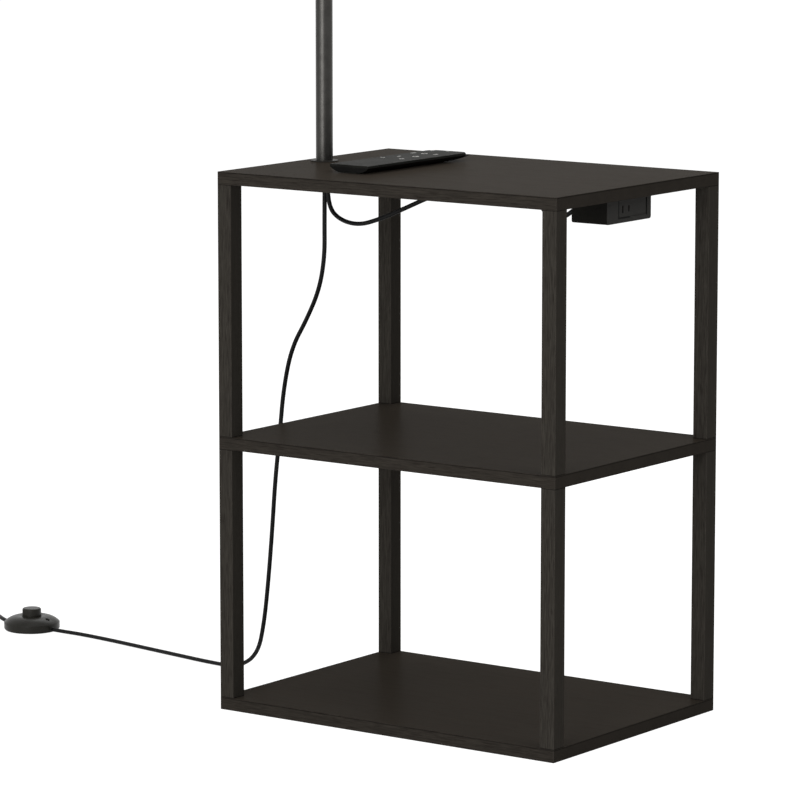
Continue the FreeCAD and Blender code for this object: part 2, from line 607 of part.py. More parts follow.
box_housing = subpart("box_housing", **BOX_PLACE)
box_slice(box_housing, 0, HOUSING)
room = sketch_on(box_housing, "YZ_Plane", HOUSING)
block(room, "0", "box_height/2", "box_length-2*box_wall", "box_height-2*box_wall")
pocket(box_housing, room, f"{HOUSING}-box_wall")
relief_hole = circle(
    sketch_on(box_housing, "YZ_Plane"), "-box_shift", "relief_level", "relief_root+2*cord_gap")
pocket(box_housing, relief_hole, "box_wall", True)
fixing_holes = sketch_on(box_housing, "XY_Plane", "box_height")
for shift in ("-box_screw_spread/2", "box_screw_spread/2"):
    circle(fixing_holes, f"{HOUSING}/2", shift, "box_screw_diameter+2*stud_gap")
pocket(box_housing, fixing_holes, "box_wall")

box_faceplate = subpart("box_faceplate", **BOX_PLACE)
box_slice(box_faceplate, HOUSING, "faceplate_thickness")
LIP_LENGTH = "(box_length-2*box_wall-2*lip_gap)"
LIP_HEIGHT = "(box_height-2*box_wall-2*lip_gap)"
lip = sketch_on(box_faceplate, "YZ_Plane", f"{HOUSING}-lip_depth")
block(lip, "0", "box_height/2", LIP_LENGTH, LIP_HEIGHT)
block(lip, "0", "box_height/2", f"{LIP_LENGTH}-2*lip_wall", f"{LIP_HEIGHT}-2*lip_wall")
pad(box_faceplate, lip, "lip_depth")
panel = sketch_on(box_faceplate, "YZ_Plane", "box_depth")
outline(panel, [("panel_left", "panel_under"), ("panel_right", "panel_under"),
                ("panel_right", "panel_top"), ("panel_left", "panel_top")])
pocket(box_faceplate, panel, "panel_recess")

SLOTS = (("(slot_middle-slot_spread/2)", "long_slot"), ("(slot_middle+slot_spread/2)", "short_slot"))
windows = sketch_on(box_faceplate, "YZ_Plane", "box_depth")
for middle, height in SLOTS:
    block(windows, middle, "slot_level", "slot_width", height)
pocket(box_faceplate, windows, "faceplate_thickness")

ac_receptacle = subpart("ac_receptacle", **BOX_PLACE)
BLOCK_REAR = f"({HOUSING}-receptacle_depth)"
insulator = sketch_on(ac_receptacle, "YZ_Plane", BLOCK_REAR)
block(insulator, "slot_middle", "slot_level", "receptacle_length", "receptacle_height")
pad(ac_receptacle, insulator, "receptacle_depth")
blade_ways = sketch_on(ac_receptacle, "YZ_Plane", HOUSING)
contact_rooms = sketch_on(ac_receptacle, "YZ_Plane", BLOCK_REAR)
for middle, height in SLOTS:
    block(blade_ways, middle, "slot_level", "slot_width", height)
    block(contact_rooms, middle, "slot_level", "contact_room", "contact_rise+2*contact_gap")
pocket(ac_receptacle, blade_ways, "receptacle_depth")
pocket(ac_receptacle, contact_rooms, "contact_reach+contact_gap", True)

# Each contact is a strip folded into a channel, open towards the blade.
receptacle_contacts = subpart(
    "receptacle_contacts", x=f"{BOX_REAR}+{BLOCK_REAR}+contact_gap",
    y="box_shift+slot_middle-slot_spread/2", z=f"{BOX_FLOOR}+slot_level-contact_rise/2")
CHANNEL = "(contact_room/2-contact_gap)"
outline(sketch_on(receptacle_contacts, "XY_Plane"), [
    ("0", f"-{CHANNEL}"), ("contact_reach", f"-{CHANNEL}"), ("contact_reach", f"contact_sheet-{CHANNEL}"),
    ("contact_sheet", f"contact_sheet-{CHANNEL}"), ("contact_sheet", f"{CHANNEL}-contact_sheet"),
    ("contact_reach", f"{CHANNEL}-contact_sheet"), ("contact_reach", CHANNEL), ("0", CHANNEL)])
pad(receptacle_contacts, receptacle_contacts.Group[-1], "contact_rise")
repeat(receptacle_contacts, ("Y", "slot_spread", 2))


def wood_screw(name, x, y, seat, head, head_rise, shank, length):
    """A pan head screw driven upwards, its head's upper face at the seat."""
    body = member(name, x=x, y=y, z=f"{seat}-{head_rise}")
    turned(body, [
        ("0", "0"), (f"{head}/2-head_edge", "0", quarter("head_edge")), (f"{head}/2", "head_edge"),
        (f"{head}/2", head_rise),
        (f"{shank}/2", head_rise), (f"{shank}/2", f"{head_rise}+{length}-{shank}"),
        ("0", f"{head_rise}+{length}")])
    return body


box_screws = wood_screw("box_screws", BOX_MIDDLE, "box_shift-box_screw_spread/2",
                        f"({TOP_UNDERSIDE}-box_wall)", "box_screw_head", "box_screw_rise",
                        "box_screw_diameter", "box_screw_length")
repeat(box_screws, ("Y", "box_screw_spread", 2))

box_strain_relief = subpart("box_strain_relief", x=BOX_REAR, z=f"{BOX_FLOOR}+relief_level",
                            turn=-90, axis=(0, 1, 0))
turned(box_strain_relief, [
    ("0", "-box_wall-relief_collar"), ("relief_rim/2", "-box_wall-relief_collar"),
    ("relief_rim/2", "-box_wall"), ("relief_root/2", "-box_wall"), ("relief_root/2", "0"),
    ("relief_rim/2", "0"), ("relief_rim/2", "relief_collar"), ("relief_root/2", "relief_collar"),
    ("relief_tip/2", "relief_length"), ("0", "relief_length")])

# The clip is a saddle round the cord with a tab that is screwed to the board's underside.
CLIP_AXIS = "(cord_diameter/2+cord_gap+clip_sheet/2)"
CLIP_OUTSIDE = "(cord_diameter/2+cord_gap+clip_sheet)"
CLIP_SCREW_Y = f"({CLIP_OUTSIDE}+clip_tab/2)"
cord_clip = subpart("cord_clip", x="clip_place-clip_width/2", z=TOP_UNDERSIDE)
saddle = sketch_on(cord_clip, "YZ_Plane")
outline(saddle, [
    (f"-{CLIP_OUTSIDE}", f"-{CLIP_AXIS}", quarter(CLIP_OUTSIDE)),
    ("0", f"-{CLIP_AXIS}-{CLIP_OUTSIDE}", quarter(CLIP_OUTSIDE)), (CLIP_OUTSIDE, f"-{CLIP_AXIS}"),
    (CLIP_OUTSIDE, "-clip_sheet"), (f"{CLIP_OUTSIDE}+clip_tab", "-clip_sheet"),
    (f"{CLIP_OUTSIDE}+clip_tab", "0"), (f"-{CLIP_OUTSIDE}", "0")])
circle(saddle, "0", f"-{CLIP_AXIS}", "cord_diameter+2*cord_gap")
pad(cord_clip, saddle, "clip_width")
clip_hole = circle(sketch_on(cord_clip, "XY_Plane"), "clip_width/2", CLIP_SCREW_Y, "clip_screw+2*stud_gap")
pocket(cord_clip, clip_hole, "clip_sheet")
clip_pilot = circle(sketch_on(top_board, "XY_Plane"), "clip_place", CLIP_SCREW_Y, "clip_screw+2*stud_gap")
pocket(top_board, clip_pilot, "clip_screw_length-clip_sheet+bore_end_gap", True)

clip_screw = wood_screw("clip_fixing", "clip_place", CLIP_SCREW_Y, f"({TOP_UNDERSIDE}-clip_sheet)",
                        "clip_screw_head", "box_screw_rise", "clip_screw", "clip_screw_length")
group("underside_screws", [box_screws, clip_screw])


# ---------------------------------------------------------------- foot switch

SWITCH_PLACE = {"x": "switch_place_x", "y": "switch_place_y", "turn": "switch_turn"}
OUTER = "(switch_diameter/2)"
INNER = "(switch_diameter/2-switch_wall)"
BUTTON_HOLE = "(button_diameter/2+button_gap)"
COVER_UNDERSIDE = "(switch_height-switch_wall)"
RIM_OUTSIDE = f"({INNER}-button_gap)"
RIM_TOP = "(base_thickness+base_rim)"
GROMMET_FOOT = "(grommet_level-grommet_height/2)"
GROMMET_FACE = f"sqrt({OUTER}^2-(grommet_width/2)^2)"

switch_base = subpart("switch_base", **SWITCH_PLACE)
DISC = f"({OUTER}-base_inset)"
turned(switch_base, [
    ("0", "0"), (f"{DISC}-base_edge", "0"), (DISC, "base_edge"), (DISC, "base_thickness"),
    (RIM_OUTSIDE, "base_thickness"), (RIM_OUTSIDE, RIM_TOP), (f"{RIM_OUTSIDE}-base_rim_wall", RIM_TOP),
    (f"{RIM_OUTSIDE}-base_rim_wall", "base_thickness"), ("0", "base_thickness")])
for start, onward in ((f"{GROMMET_FACE}-grommet_length-cord_gap", True),
                      (f"-({GROMMET_FACE}-grommet_length-cord_gap)", False)):
    notch = sketch_on(switch_base, "YZ_Plane", start)
    outline(notch, [
        ("-grommet_width/2-cord_gap", f"{GROMMET_FOOT}-cord_gap"),
        ("grommet_width/2+cord_gap", f"{GROMMET_FOOT}-cord_gap"),
        ("grommet_width/2+cord_gap", f"{RIM_TOP}+1"), ("-grommet_width/2-cord_gap", f"{RIM_TOP}+1")])
    pocket(switch_base, notch, "grommet_length+2", onward)

# The domed cover: a bowed shell with a hole for the button and two bosses over the cord's entries.
switch_cover = subpart("switch_cover", **SWITCH_PLACE)
turned(switch_cover, [
    (INNER, "base_thickness"), (OUTER, "base_thickness"), (OUTER, "switch_shoulder", "dome_bow"),
    (BUTTON_HOLE, "switch_height"), (BUTTON_HOLE, COVER_UNDERSIDE, "-dome_inner_bow"),
    (INNER, "switch_shoulder-switch_wall/2")])
bosses = sketch_on(switch_cover, "XY_Plane", "clamp_foot")
for spot in ("-clamp_screw_place", "clamp_screw_place"):
    circle(bosses, spot, "0", "clamp_boss")
pad(switch_cover, bosses, "clamp_boss_top-clamp_foot")
screw_ways = sketch_on(switch_cover, "XY_Plane", "switch_height")
head_rooms = sketch_on(switch_cover, "XY_Plane", "switch_height")
for spot in ("-clamp_screw_place", "clamp_screw_place"):
    circle(screw_ways, spot, "0", "clamp_screw+2*stud_gap")
    circle(head_rooms, spot, "0", "clamp_head+2*stud_gap")
HEAD_SEAT = "(clamp_boss_top-clamp_recess)"
pocket(switch_cover, screw_ways, "switch_height-clamp_foot")
pocket(switch_cover, head_rooms, f"switch_height-{HEAD_SEAT}")
cord_ways = sketch_on(switch_cover, "YZ_Plane", f"-{OUTER}-1")
outline(cord_ways, [
    ("-grommet_width/2-cord_gap", "0"), ("grommet_width/2+cord_gap", "0"),
    ("grommet_width/2+cord_gap", f"{GROMMET_FOOT}+grommet_height+cord_gap"),
    ("-grommet_width/2-cord_gap", f"{GROMMET_FOOT}+grommet_height+cord_gap")])
pocket(switch_cover, cord_ways, "switch_diameter+2", True)

# The button is a cap whose skirt stops it under the cover. Its stem slides in the mechanism's guide,
# and the spring round that guide lifts it.
FLANGE_TOP = f"({COVER_UNDERSIDE}-button_stop)"
FLANGE_FOOT = f"({FLANGE_TOP}-button_skirt)"
CEILING = "(button_top-button_wall)"
MECHANISM_TOP = "(base_thickness+mechanism_height)"
STEM_FOOT = f"({MECHANISM_TOP}+button_travel+button_gap)"
switch_button = subpart("switch_button", **SWITCH_PLACE)
turned(switch_button, [
    ("button_diameter/2-button_wall", FLANGE_FOOT), ("button_diameter/2+button_flange", FLANGE_FOOT),
    ("button_diameter/2+button_flange", FLANGE_TOP), ("button_diameter/2", FLANGE_TOP),
    ("button_diameter/2", "button_top-button_round", quarter("button_round")),
    ("button_diameter/2-button_round", "button_top"), ("0", "button_top"), ("0", STEM_FOOT),
    ("stem_diameter/2", STEM_FOOT), ("stem_diameter/2", CEILING),
    ("button_diameter/2-button_wall", CEILING)])

switch_mechanism = subpart("switch_mechanism", z="base_thickness", **SWITCH_PLACE)
case = block(sketch_on(switch_mechanism, "XY_Plane"), "0", "0", "mechanism_length", "mechanism_width")
pad(switch_mechanism, case, "mechanism_height")
guide = circle(sketch_on(switch_mechanism, "XY_Plane", "mechanism_height"), "0", "0", "guide_diameter")
circle(guide, "0", "0", "stem_diameter+2*button_gap")
pad(switch_mechanism, guide, "guide_height")
terminals = sketch_on(switch_mechanism, "XY_Plane", "mechanism_height/2")
block(terminals, "0", "0", "mechanism_length+2*terminal_length", "terminal_width")
pad(switch_mechanism, terminals, "terminal_thickness")

switch_spring = subpart("switch_spring", z=f"{MECHANISM_TOP}+spring_wire/2", **SWITCH_PLACE)
wire = circle(sketch_on(switch_spring, "XZ_Plane"), "spring_diameter/2", "0", "spring_wire")
coils = feature(switch_spring, "AdditiveHelix", wire, Mode="height-turns-angle",
                ReferenceAxis=(wire, ["V_Axis"]))
SPRING_REACH = f"({CEILING}-button_gap-{MECHANISM_TOP}-spring_wire)"
coils.setExpression("Height", bound(SPRING_REACH))
coils.setExpression("Turns", bound("spring_turns"))

switch_screws = subpart("switch_screws", z=HEAD_SEAT, **SWITCH_PLACE)
heads = sketch_on(switch_screws, "XY_Plane")
shanks = sketch_on(switch_screws, "XY_Plane")
for spot in ("-clamp_screw_place", "clamp_screw_place"):
    circle(heads, spot, "0", "clamp_head")
    circle(shanks, spot, "0", "clamp_screw")
pad(switch_screws, heads, "clamp_head_rise")
pad(switch_screws, shanks, f"{HEAD_SEAT}-clamp_foot", True)

switch_grommets = subpart("switch_grommets", **SWITCH_PLACE)
for sign in ("", "-"):
    bush = sketch_on(switch_grommets, "YZ_Plane", f"{sign}({GROMMET_FACE}-grommet_length)")
    block(bush, "0", "grommet_level", "grommet_width", "grommet_height")
    pad(switch_grommets, bush, "grommet_length", sign == "-")


# ---------------------------------------------------------------- cords

CORD_RADIUS = value("cord_diameter") / 2


def solid_part(name, shape):
    """A sub-part whose shape is worked out here, because it follows a route."""
    made = doc.addObject("Part::Feature", name)
    made.Label = name
    made.Shape = shape
    SUBPARTS.append(made)
    return made


def tube(path, diameter):
    """A round tube along a path. Its volume has to be its section times its length."""
    start = path.Edges[0]
    here = start.valueAt(start.FirstParameter)
    heading = start.tangentAt(start.FirstParameter)
    section = Part.Wire(Part.Circle(here, heading, diameter / 2).toShape())
    solid = path.makePipeShell([section], True, False)
    expected = math.pi * diameter ** 2 / 4 * path.Length
    if abs(solid.Volume / expected - 1) > 0.01:
        raise ValueError(f"tube volume {solid.Volume:.0f}, expected {expected:.0f}")
    return solid


def route(name, points):
    """Straight runs joined by tangent arcs, each as large as its two runs allow."""
    corners = [Vector(*point) for point in points]
    edges, radii, here = [], [], corners[0]
    for before, corner, after in zip(corners, corners[1:], corners[2:]):
        inward, outward = before - corner, after - corner
        half_turn = (math.pi - inward.getAngle(outward)) / 2
        cut = 0.45 * min(inward.Length, outward.Length)
        inward.normalize()
        outward.normalize()
        radius = cut / math.tan(half_turn)
        start, stop = corner + inward * cut, corner + outward * cut
        to_centre = (inward + outward).normalize()
        middle = corner + to_centre * (radius / math.cos(half_turn) - radius)
        edges += [Part.LineSegment(here, start).toShape(), Part.Arc(start, middle, stop).toShape()]
        radii.append(round(radius))
        here = stop
    edges.append(Part.LineSegment(here, corners[-1]).toShape())
    path = Part.Wire(edges)
    print(f"{name}: {path.Length:.0f} mm long, radii {radii}")
    return path


def on_switch(x, z):
    """A point on the line through both of the foot switch's cord entries."""
    turn = math.radians(value("switch_turn"))
    return (value("switch_place_x") + x * math.cos(turn), value("switch_place_y") + x * math.sin(turn), z)


# Down from the pole in one long curve to the floor, then along it to the switch.
end_gap = value("cord_gap")
exit_level = value(BUSHING_FOOT) - end_gap
exit_x = value(POLE_X) + value("exit_shift")
spread = value("cord_spread") / 2
near_side = value(GROMMET_FACE) + end_gap
level = value("grommet_level")
MAINS_ROUTE = [
    (exit_x - spread, 0, exit_level), (-211, 0, 572), (-211.5, 1, 530), (-222.5, 5, 489),
    (-243.5, 8, 451), (-270, 11, 412), (-284, 13, 360), (-291.6, 15.2, 304), (-300.3, 17, 246),
    (-306, 18, 184), (-313.5, 20, 122), (-321.5, 21, 64), (-332, 21, 22), (-362, 20, 2.5),
    (-411, 20.5, 2.5), (-470, 30, 2.5), (-533, 39.5, 2.5), (-592, 49.5, 2.5), (-650, 55.2, 3.1),
    on_switch(near_side, level)]
solid_part("mains_cord", tube(route("mains_cord", MAINS_ROUTE), 2 * CORD_RADIUS))

# From the pole in a slack loop up to the clip under the board, then down and up into the box.
# There it comes up to the strain relief at a slant, and ends where its edge meets the tip.
last_bend = Vector(148, 0, 608.7)
relief_tip = Vector(value(BOX_REAR) - value("relief_length"), 0, value(BOX_FLOOR) + value("relief_level"))
slant = (relief_tip - last_bend).normalize()
box_end = relief_tip - slant * ((CORD_RADIUS * slant.z + end_gap) / slant.x)
clip_level = value(TOP_UNDERSIDE) - value(CLIP_AXIS)
clip_side = value("clip_width") / 2 + 4
BOX_ROUTE = [
    (exit_x + spread, 0, exit_level), (-203.8, 0, 591), (-186.8, 0, 575.5), (-159.5, 0, 571),
    (-128, 0, 580.6), (-96, 0, 597), (-63, 0, 613), (-22, 0, 623.5),
    (value("clip_place") - clip_side, 0, clip_level), (value("clip_place") + clip_side, 0, clip_level),
    (56, 0, 624), (73.5, 0, 622.5), (95, 7.5, 614), (111, 2, 601.5), (124, 0, 598.6), (137, 0, 601),
    tuple(last_bend), tuple(box_end)]
solid_part("box_cord", tube(route("box_cord", BOX_ROUTE), 2 * CORD_RADIUS))


# ---------------------------------------------------------------- coil of the lead's spare length

# The coil starts on the floor beyond the switch, heading this way, and turns to the left.
COIL_START = Vector(-844.3, 96.1, CORD_RADIUS)
COIL_HEADING = math.degrees(math.atan2(0.34, -0.94))
COIL_TURNS = 4.5
HALF_CLIMB = 90


def coil_radius(angle):
    """The radius at an angle from the coil's middle: in at a steady rate, and out again."""
    return value("coil_heart") + value("coil_pitch") * abs(angle) / 360


def coil_level(angle):
    """The lower layer, the climb in the half turn at the heart, then the upper layer."""
    climbed = min(max((angle + HALF_CLIMB) / (2 * HALF_CLIMB), 0), 1)
    return CORD_RADIUS + value("coil_pitch") * climbed * climbed * (3 - 2 * climbed)


COIL_REACH = COIL_TURNS * 180
start_angle = math.radians(COIL_HEADING - 90)
coil_centre = COIL_START - Vector(math.cos(start_angle), math.sin(start_angle), 0) * coil_radius(-COIL_REACH)


def coil_point(angle):
    """A point of the cord's middle line, by the angle turned from the coil's middle."""
    bearing = start_angle + math.radians(angle + COIL_REACH)
    radius = coil_radius(angle)
    return Vector(coil_centre.x + radius * math.cos(bearing), coil_centre.y + radius * math.sin(bearing),
                  coil_level(angle))


def coil_heading(angle):
    ahead = min(angle + 1, COIL_REACH)
    behind = max(angle - 1, -COIL_REACH)
    heading = coil_point(ahead) - coil_point(behind)
    if abs(angle) == COIL_REACH:
        heading = Vector(heading.x, heading.y, 0)
    return heading.normalize()


def arc_from(start, heading, stop):
    """The arc that leaves start along heading and ends at stop."""
    chord = stop - start
    across = (heading - chord * (heading.dot(chord) / chord.dot(chord))).normalize()
    lean = heading.getAngle(chord)
    middle = (start + stop) / 2 + across * (chord.Length / 2 * math.tan(lean / 2))
    return Part.Arc(start, middle, stop).toShape()


def biarc(start, heading, stop, final):
    """Two arcs that join two points, each along its own heading."""
    span = stop - start
    both = heading + final
    bend = 2 * (1 - heading.dot(final))
    reach = (math.sqrt(span.dot(both) ** 2 + bend * span.dot(span)) - span.dot(both)) / bend
    meeting = (start + heading * reach + stop - final * reach) / 2
    return [arc_from(start, heading, meeting), arc_from(stop, final * -1, meeting)]


def least_gap(points, diameter):
    """The least space between stretches of the coil that are over half a turn apart."""
    apart = len(points) // int(2 * COIL_TURNS)
    pairs = ((a, b) for i, a in enumerate(points) for b in points[i + apart:])
    return min((a - b).Length for a, b in pairs) - diameter


quarters = [-COIL_REACH + 90 * step for step in range(int(4 * COIL_TURNS) + 1)]
end_run = value("coil_end_run")
coil_entry = COIL_START - coil_heading(-COIL_REACH) * 2 * CORD_RADIUS
coil_edges = [Part.LineSegment(coil_entry, COIL_START).toShape()]
for angle, after in zip(quarters, quarters[1:]):
    coil_edges += biarc(coil_point(angle), coil_heading(angle), coil_point(after), coil_heading(after))
coil_end = coil_point(COIL_REACH)
plug_tip = coil_end + coil_heading(COIL_REACH) * end_run
coil_edges.append(Part.LineSegment(coil_end, plug_tip).toShape())
coil_path = Part.Wire(Part.sortEdges(coil_edges)[0])
solid_part("cord_coil", tube(coil_path, 2 * CORD_RADIUS))
samples = [coil_point(-COIL_REACH + step * 5) for step in range(int(COIL_TURNS * 72) + 1)]
print(f"cord_coil: {coil_path.Length:.0f} mm long, least gap {least_gap(samples, 2 * CORD_RADIUS):.2f} mm")

PLUG_ROUTE = [
    on_switch(-near_side, level), (-788.2, 60.9, 2.9), (-813.4, 84.8, 2.5), tuple(coil_entry)]
solid_part("plug_cord", tube(route("plug_cord", PLUG_ROUTE), 2 * CORD_RADIUS))


# ---------------------------------------------------------------- plug

plug_turn = math.degrees(math.atan2(coil_heading(COIL_REACH).y, coil_heading(COIL_REACH).x))
PLUG_PLACE = {"x": plug_tip.x, "y": plug_tip.y, "z": plug_tip.z, "turn": plug_turn}
PLUG_FACE = "(plug_relief+plug_length)"

plug_body = subpart("plug_body", **PLUG_PLACE)
relief = sketch_on(plug_body, "XZ_Plane")
outline(relief, [("0", "0"), ("plug_relief+1", "0"), ("plug_relief+1", "plug_relief_root/2"),
                 ("plug_relief", "plug_relief_root/2"), ("0", "relief_tip/2")])
feature(plug_body, "Revolution", relief, ReferenceAxis=(relief, ["H_Axis"]), Angle=360)
grip = block(sketch_on(plug_body, "YZ_Plane", "plug_relief"), "0", "0", "plug_width", "plug_thickness")
pad(plug_body, grip, "plug_length")
round_edges(plug_body, "plug_round", lambda edge: along(edge, (1, 0, 0)) and edge.Length > 20)
blade_seats = sketch_on(plug_body, "YZ_Plane", PLUG_FACE)
BLADES = (("-slot_spread/2", "neutral_blade"), ("slot_spread/2", "line_blade"))
for middle, height in BLADES:
    block(blade_seats, middle, "0", "blade_thickness+2*blade_gap", f"{height}+2*blade_gap")
pocket(plug_body, blade_seats, "blade_root")

plug_blades = subpart("plug_blades", **PLUG_PLACE)
blades = sketch_on(plug_blades, "YZ_Plane", f"{PLUG_FACE}-blade_root")
for middle, height in BLADES:
    block(blades, middle, "0", "blade_thickness", height)
pad(plug_blades, blades, "blade_root+blade_length")


# ---------------------------------------------------------------- remote control

# Its own frame: the middle of its length and width, on the board, with its long side along Y.
REMOTE_PLACE = {"x": "remote_x", "y": "remote_y", "z": f"{TOP_FACE}+rest_gap"}
KEEL = "(remote_keel/2)"
HALF_WIDTH = "(remote_width/2)"
LID_FOOT = "(remote_height-remote_lid)"
HALF_LENGTH = "(remote_length/2)"

remote_lower_case = subpart("remote_lower_case", **REMOTE_PLACE)
hull = sketch_on(remote_lower_case, "XZ_Plane", f"-{HALF_LENGTH}")
outline(hull, [
    (f"-{KEEL}", "0"), (KEEL, "0", "remote_bow"), (HALF_WIDTH, LID_FOOT),
    (f"-{HALF_WIDTH}", LID_FOOT, "remote_bow")])
pad(remote_lower_case, hull, "remote_length")
bow = sketch_on(remote_lower_case, "YZ_Plane", f"-{HALF_WIDTH}-1")
outline(bow, [
    (f"{HALF_LENGTH}-remote_rise", "-1"), (f"{HALF_LENGTH}+1", "-1"), (f"{HALF_LENGTH}+1", LID_FOOT),
    (HALF_LENGTH, f"{LID_FOOT}-remote_edge", "-remote_rise_bow"), (f"{HALF_LENGTH}-remote_rise", "0")])
pocket(remote_lower_case, bow, "remote_width+2", True)


def far_corners(edge):
    """The upright edges at the remote's far end."""
    return along(edge, (0, 0, 1)) and edge.CenterOfMass.y > 0


CELL_Y = f"(cell_setback-{HALF_LENGTH})"
DOOR_SEAT = "(door_thickness+door_gap)"
cell_bay = circle(sketch_on(remote_lower_case, "XY_Plane"), "0", CELL_Y, "cell_diameter+2*cell_gap")
pocket(remote_lower_case, cell_bay, f"{DOOR_SEAT}+cell_thickness+cell_gap", True)
door_way = sketch_on(remote_lower_case, "XY_Plane")
block(door_way, "0", f"(door_length+door_gap-1)/2-{HALF_LENGTH}", "door_width+2*door_gap",
      "door_length+door_gap+1")
pocket(remote_lower_case, door_way, DOOR_SEAT, True)

remote_upper_case = subpart("remote_upper_case", **REMOTE_PLACE)
lid = block(sketch_on(remote_upper_case, "XY_Plane", LID_FOOT), "0", "0", "remote_width", "remote_length")
pad(remote_upper_case, lid, "remote_lid")
round_edges(remote_upper_case, "remote_round", far_corners)
label_seat = sketch_on(remote_upper_case, "XY_Plane", "remote_height")
OVERLAY_WIDTH = "(remote_width-2*overlay_margin)"
OVERLAY_LENGTH = "(remote_length-2*overlay_margin)"
block(label_seat, "0", "0", f"{OVERLAY_WIDTH}+2*blade_gap", f"{OVERLAY_LENGTH}+2*blade_gap")
pocket(remote_upper_case, label_seat, "overlay_thickness")

remote_overlay = subpart("remote_overlay", **REMOTE_PLACE)
skin = sketch_on(remote_overlay, "XY_Plane", "remote_height-overlay_thickness")
block(skin, "0", "0", OVERLAY_WIDTH, OVERLAY_LENGTH)
pad(remote_overlay, skin, "overlay_thickness")
round_edges(remote_overlay, "remote_round-overlay_margin", far_corners)

remote_battery = subpart("remote_battery", **REMOTE_PLACE)
cell = circle(sketch_on(remote_battery, "XY_Plane", DOOR_SEAT), "0", CELL_Y, "cell_diameter")
pad(remote_battery, cell, "cell_thickness")

remote_battery_door = subpart("remote_battery_door", **REMOTE_PLACE)
plate = sketch_on(remote_battery_door, "XY_Plane")
block(plate, "0", f"door_length/2-{HALF_LENGTH}", "door_width", "door_length")
pad(remote_battery_door, plate, "door_thickness")


# ---------------------------------------------------------------- checks and files

doc.recompute()
for piece in doc.Objects:
    if {"Invalid", "Error"} & set(piece.State):
        raise RuntimeError(f"{piece.Label} failed: {piece.State}")
    if piece.TypeId in ("PartDesign::Pocket", "PartDesign::Groove"):
        if piece.Shape.Volume >= piece.BaseFeature.Shape.Volume:
            raise RuntimeError(f"{piece.Label} cuts nothing")
for piece in SUBPARTS:
    if piece.Shape.isNull() or not piece.Shape.isValid():
        raise RuntimeError(f"{piece.Label} has no valid shape")
for piece in SUBPARTS:
    piece.Shape.exportStep(f"parts/{piece.Label}.step")
print(f"{len(SUBPARTS)} sub-parts written")
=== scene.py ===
"""A floor lamp whose pole stands on a three-board shelf, with a foot switch in its lead, an outlet
box under the top board and a remote control lying on it.

All sizes are in metres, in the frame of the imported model.
"""

import json
import math

import bmesh
import bpy
from mathutils import Matrix, Vector
from mathutils.bvhtree import BVHTree


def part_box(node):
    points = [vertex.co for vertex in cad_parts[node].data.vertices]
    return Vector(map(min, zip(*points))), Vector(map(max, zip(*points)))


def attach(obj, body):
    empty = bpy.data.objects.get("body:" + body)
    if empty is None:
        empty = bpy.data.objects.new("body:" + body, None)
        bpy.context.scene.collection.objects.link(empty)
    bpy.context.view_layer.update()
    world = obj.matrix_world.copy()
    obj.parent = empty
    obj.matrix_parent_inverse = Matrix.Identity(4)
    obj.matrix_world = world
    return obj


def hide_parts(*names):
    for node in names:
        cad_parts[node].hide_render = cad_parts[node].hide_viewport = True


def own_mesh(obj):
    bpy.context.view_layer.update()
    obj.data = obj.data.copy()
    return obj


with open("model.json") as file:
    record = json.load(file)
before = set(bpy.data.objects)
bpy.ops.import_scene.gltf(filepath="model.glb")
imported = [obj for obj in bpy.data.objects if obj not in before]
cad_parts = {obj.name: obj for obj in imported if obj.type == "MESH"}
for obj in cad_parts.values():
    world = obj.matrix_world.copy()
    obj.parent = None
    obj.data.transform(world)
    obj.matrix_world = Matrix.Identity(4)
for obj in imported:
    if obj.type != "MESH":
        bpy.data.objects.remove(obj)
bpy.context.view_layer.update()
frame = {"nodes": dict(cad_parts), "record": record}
nodes = frame["nodes"]

Y, Z = Vector((0, 1, 0)), Vector((0, 0, 1))


def shown(made):
    """Puts an object in the scene."""
    bpy.context.scene.collection.objects.link(made)
    return made


def mesh_of(name, vertices, faces):
    mesh = bpy.data.meshes.new(name)
    mesh.from_pydata(vertices, [], faces)
    return mesh


def map_surface(mesh, places):
    """Gives a mesh its UV map, from one place for each vertex."""
    uv = mesh.uv_layers.new(name="UVMap")
    for loop in mesh.loops:
        uv.data[loop.index].uv = places[loop.vertex_index]


def moved(place, bearing, distance):
    """X and Y of the point at that bearing and distance from a place."""
    return place[0] + distance * math.cos(bearing), place[1] + distance * math.sin(bearing)


def eased(share):
    """A share, kept between 0 and 1, that starts and ends gently."""
    share = min(max(share, 0), 1)
    return share * share * (3 - 2 * share)


# ---------------------------------------------------------------- camera and lamps

CAMERA_PLACE = (3.08671, -4.38629, 1.20410)
CAMERA_AZIMUTH, CAMERA_ELEVATION = 35.9885, 8.798
CAMERA_LENS, SENSOR_WIDTH, VIEW_DEPTH = 206.59, 36, 40
SOFTBOXES = [               # name, azimuth, elevation, distance, width, height, power, level faced
    ("key_light", 7, 0, 4.2, 2.4, 2.6, 104, 1.3),
    ("top_light", 0, 86, 3.2, 2.6, 2.6, 19, 0.4),
    ("right_light", 88, 38, 4.0, 2.0, 1.6, 27, 0.4),
    ("left_light", -24, 4, 4.6, 1.2, 2.6, 13, 1.2),
    ("back_light", 205, 42, 4.4, 2.4, 2.0, 30, 0.4)]


def make_camera():
    data = bpy.data.cameras.new("camera")
    data.lens, data.sensor_width, data.clip_end = CAMERA_LENS, SENSOR_WIDTH, VIEW_DEPTH
    camera = shown(bpy.data.objects.new("camera", data))
    camera.location = CAMERA_PLACE
    camera.rotation_euler = (math.radians(90 - CAMERA_ELEVATION), 0, math.radians(CAMERA_AZIMUTH))
    bpy.context.scene.camera = camera


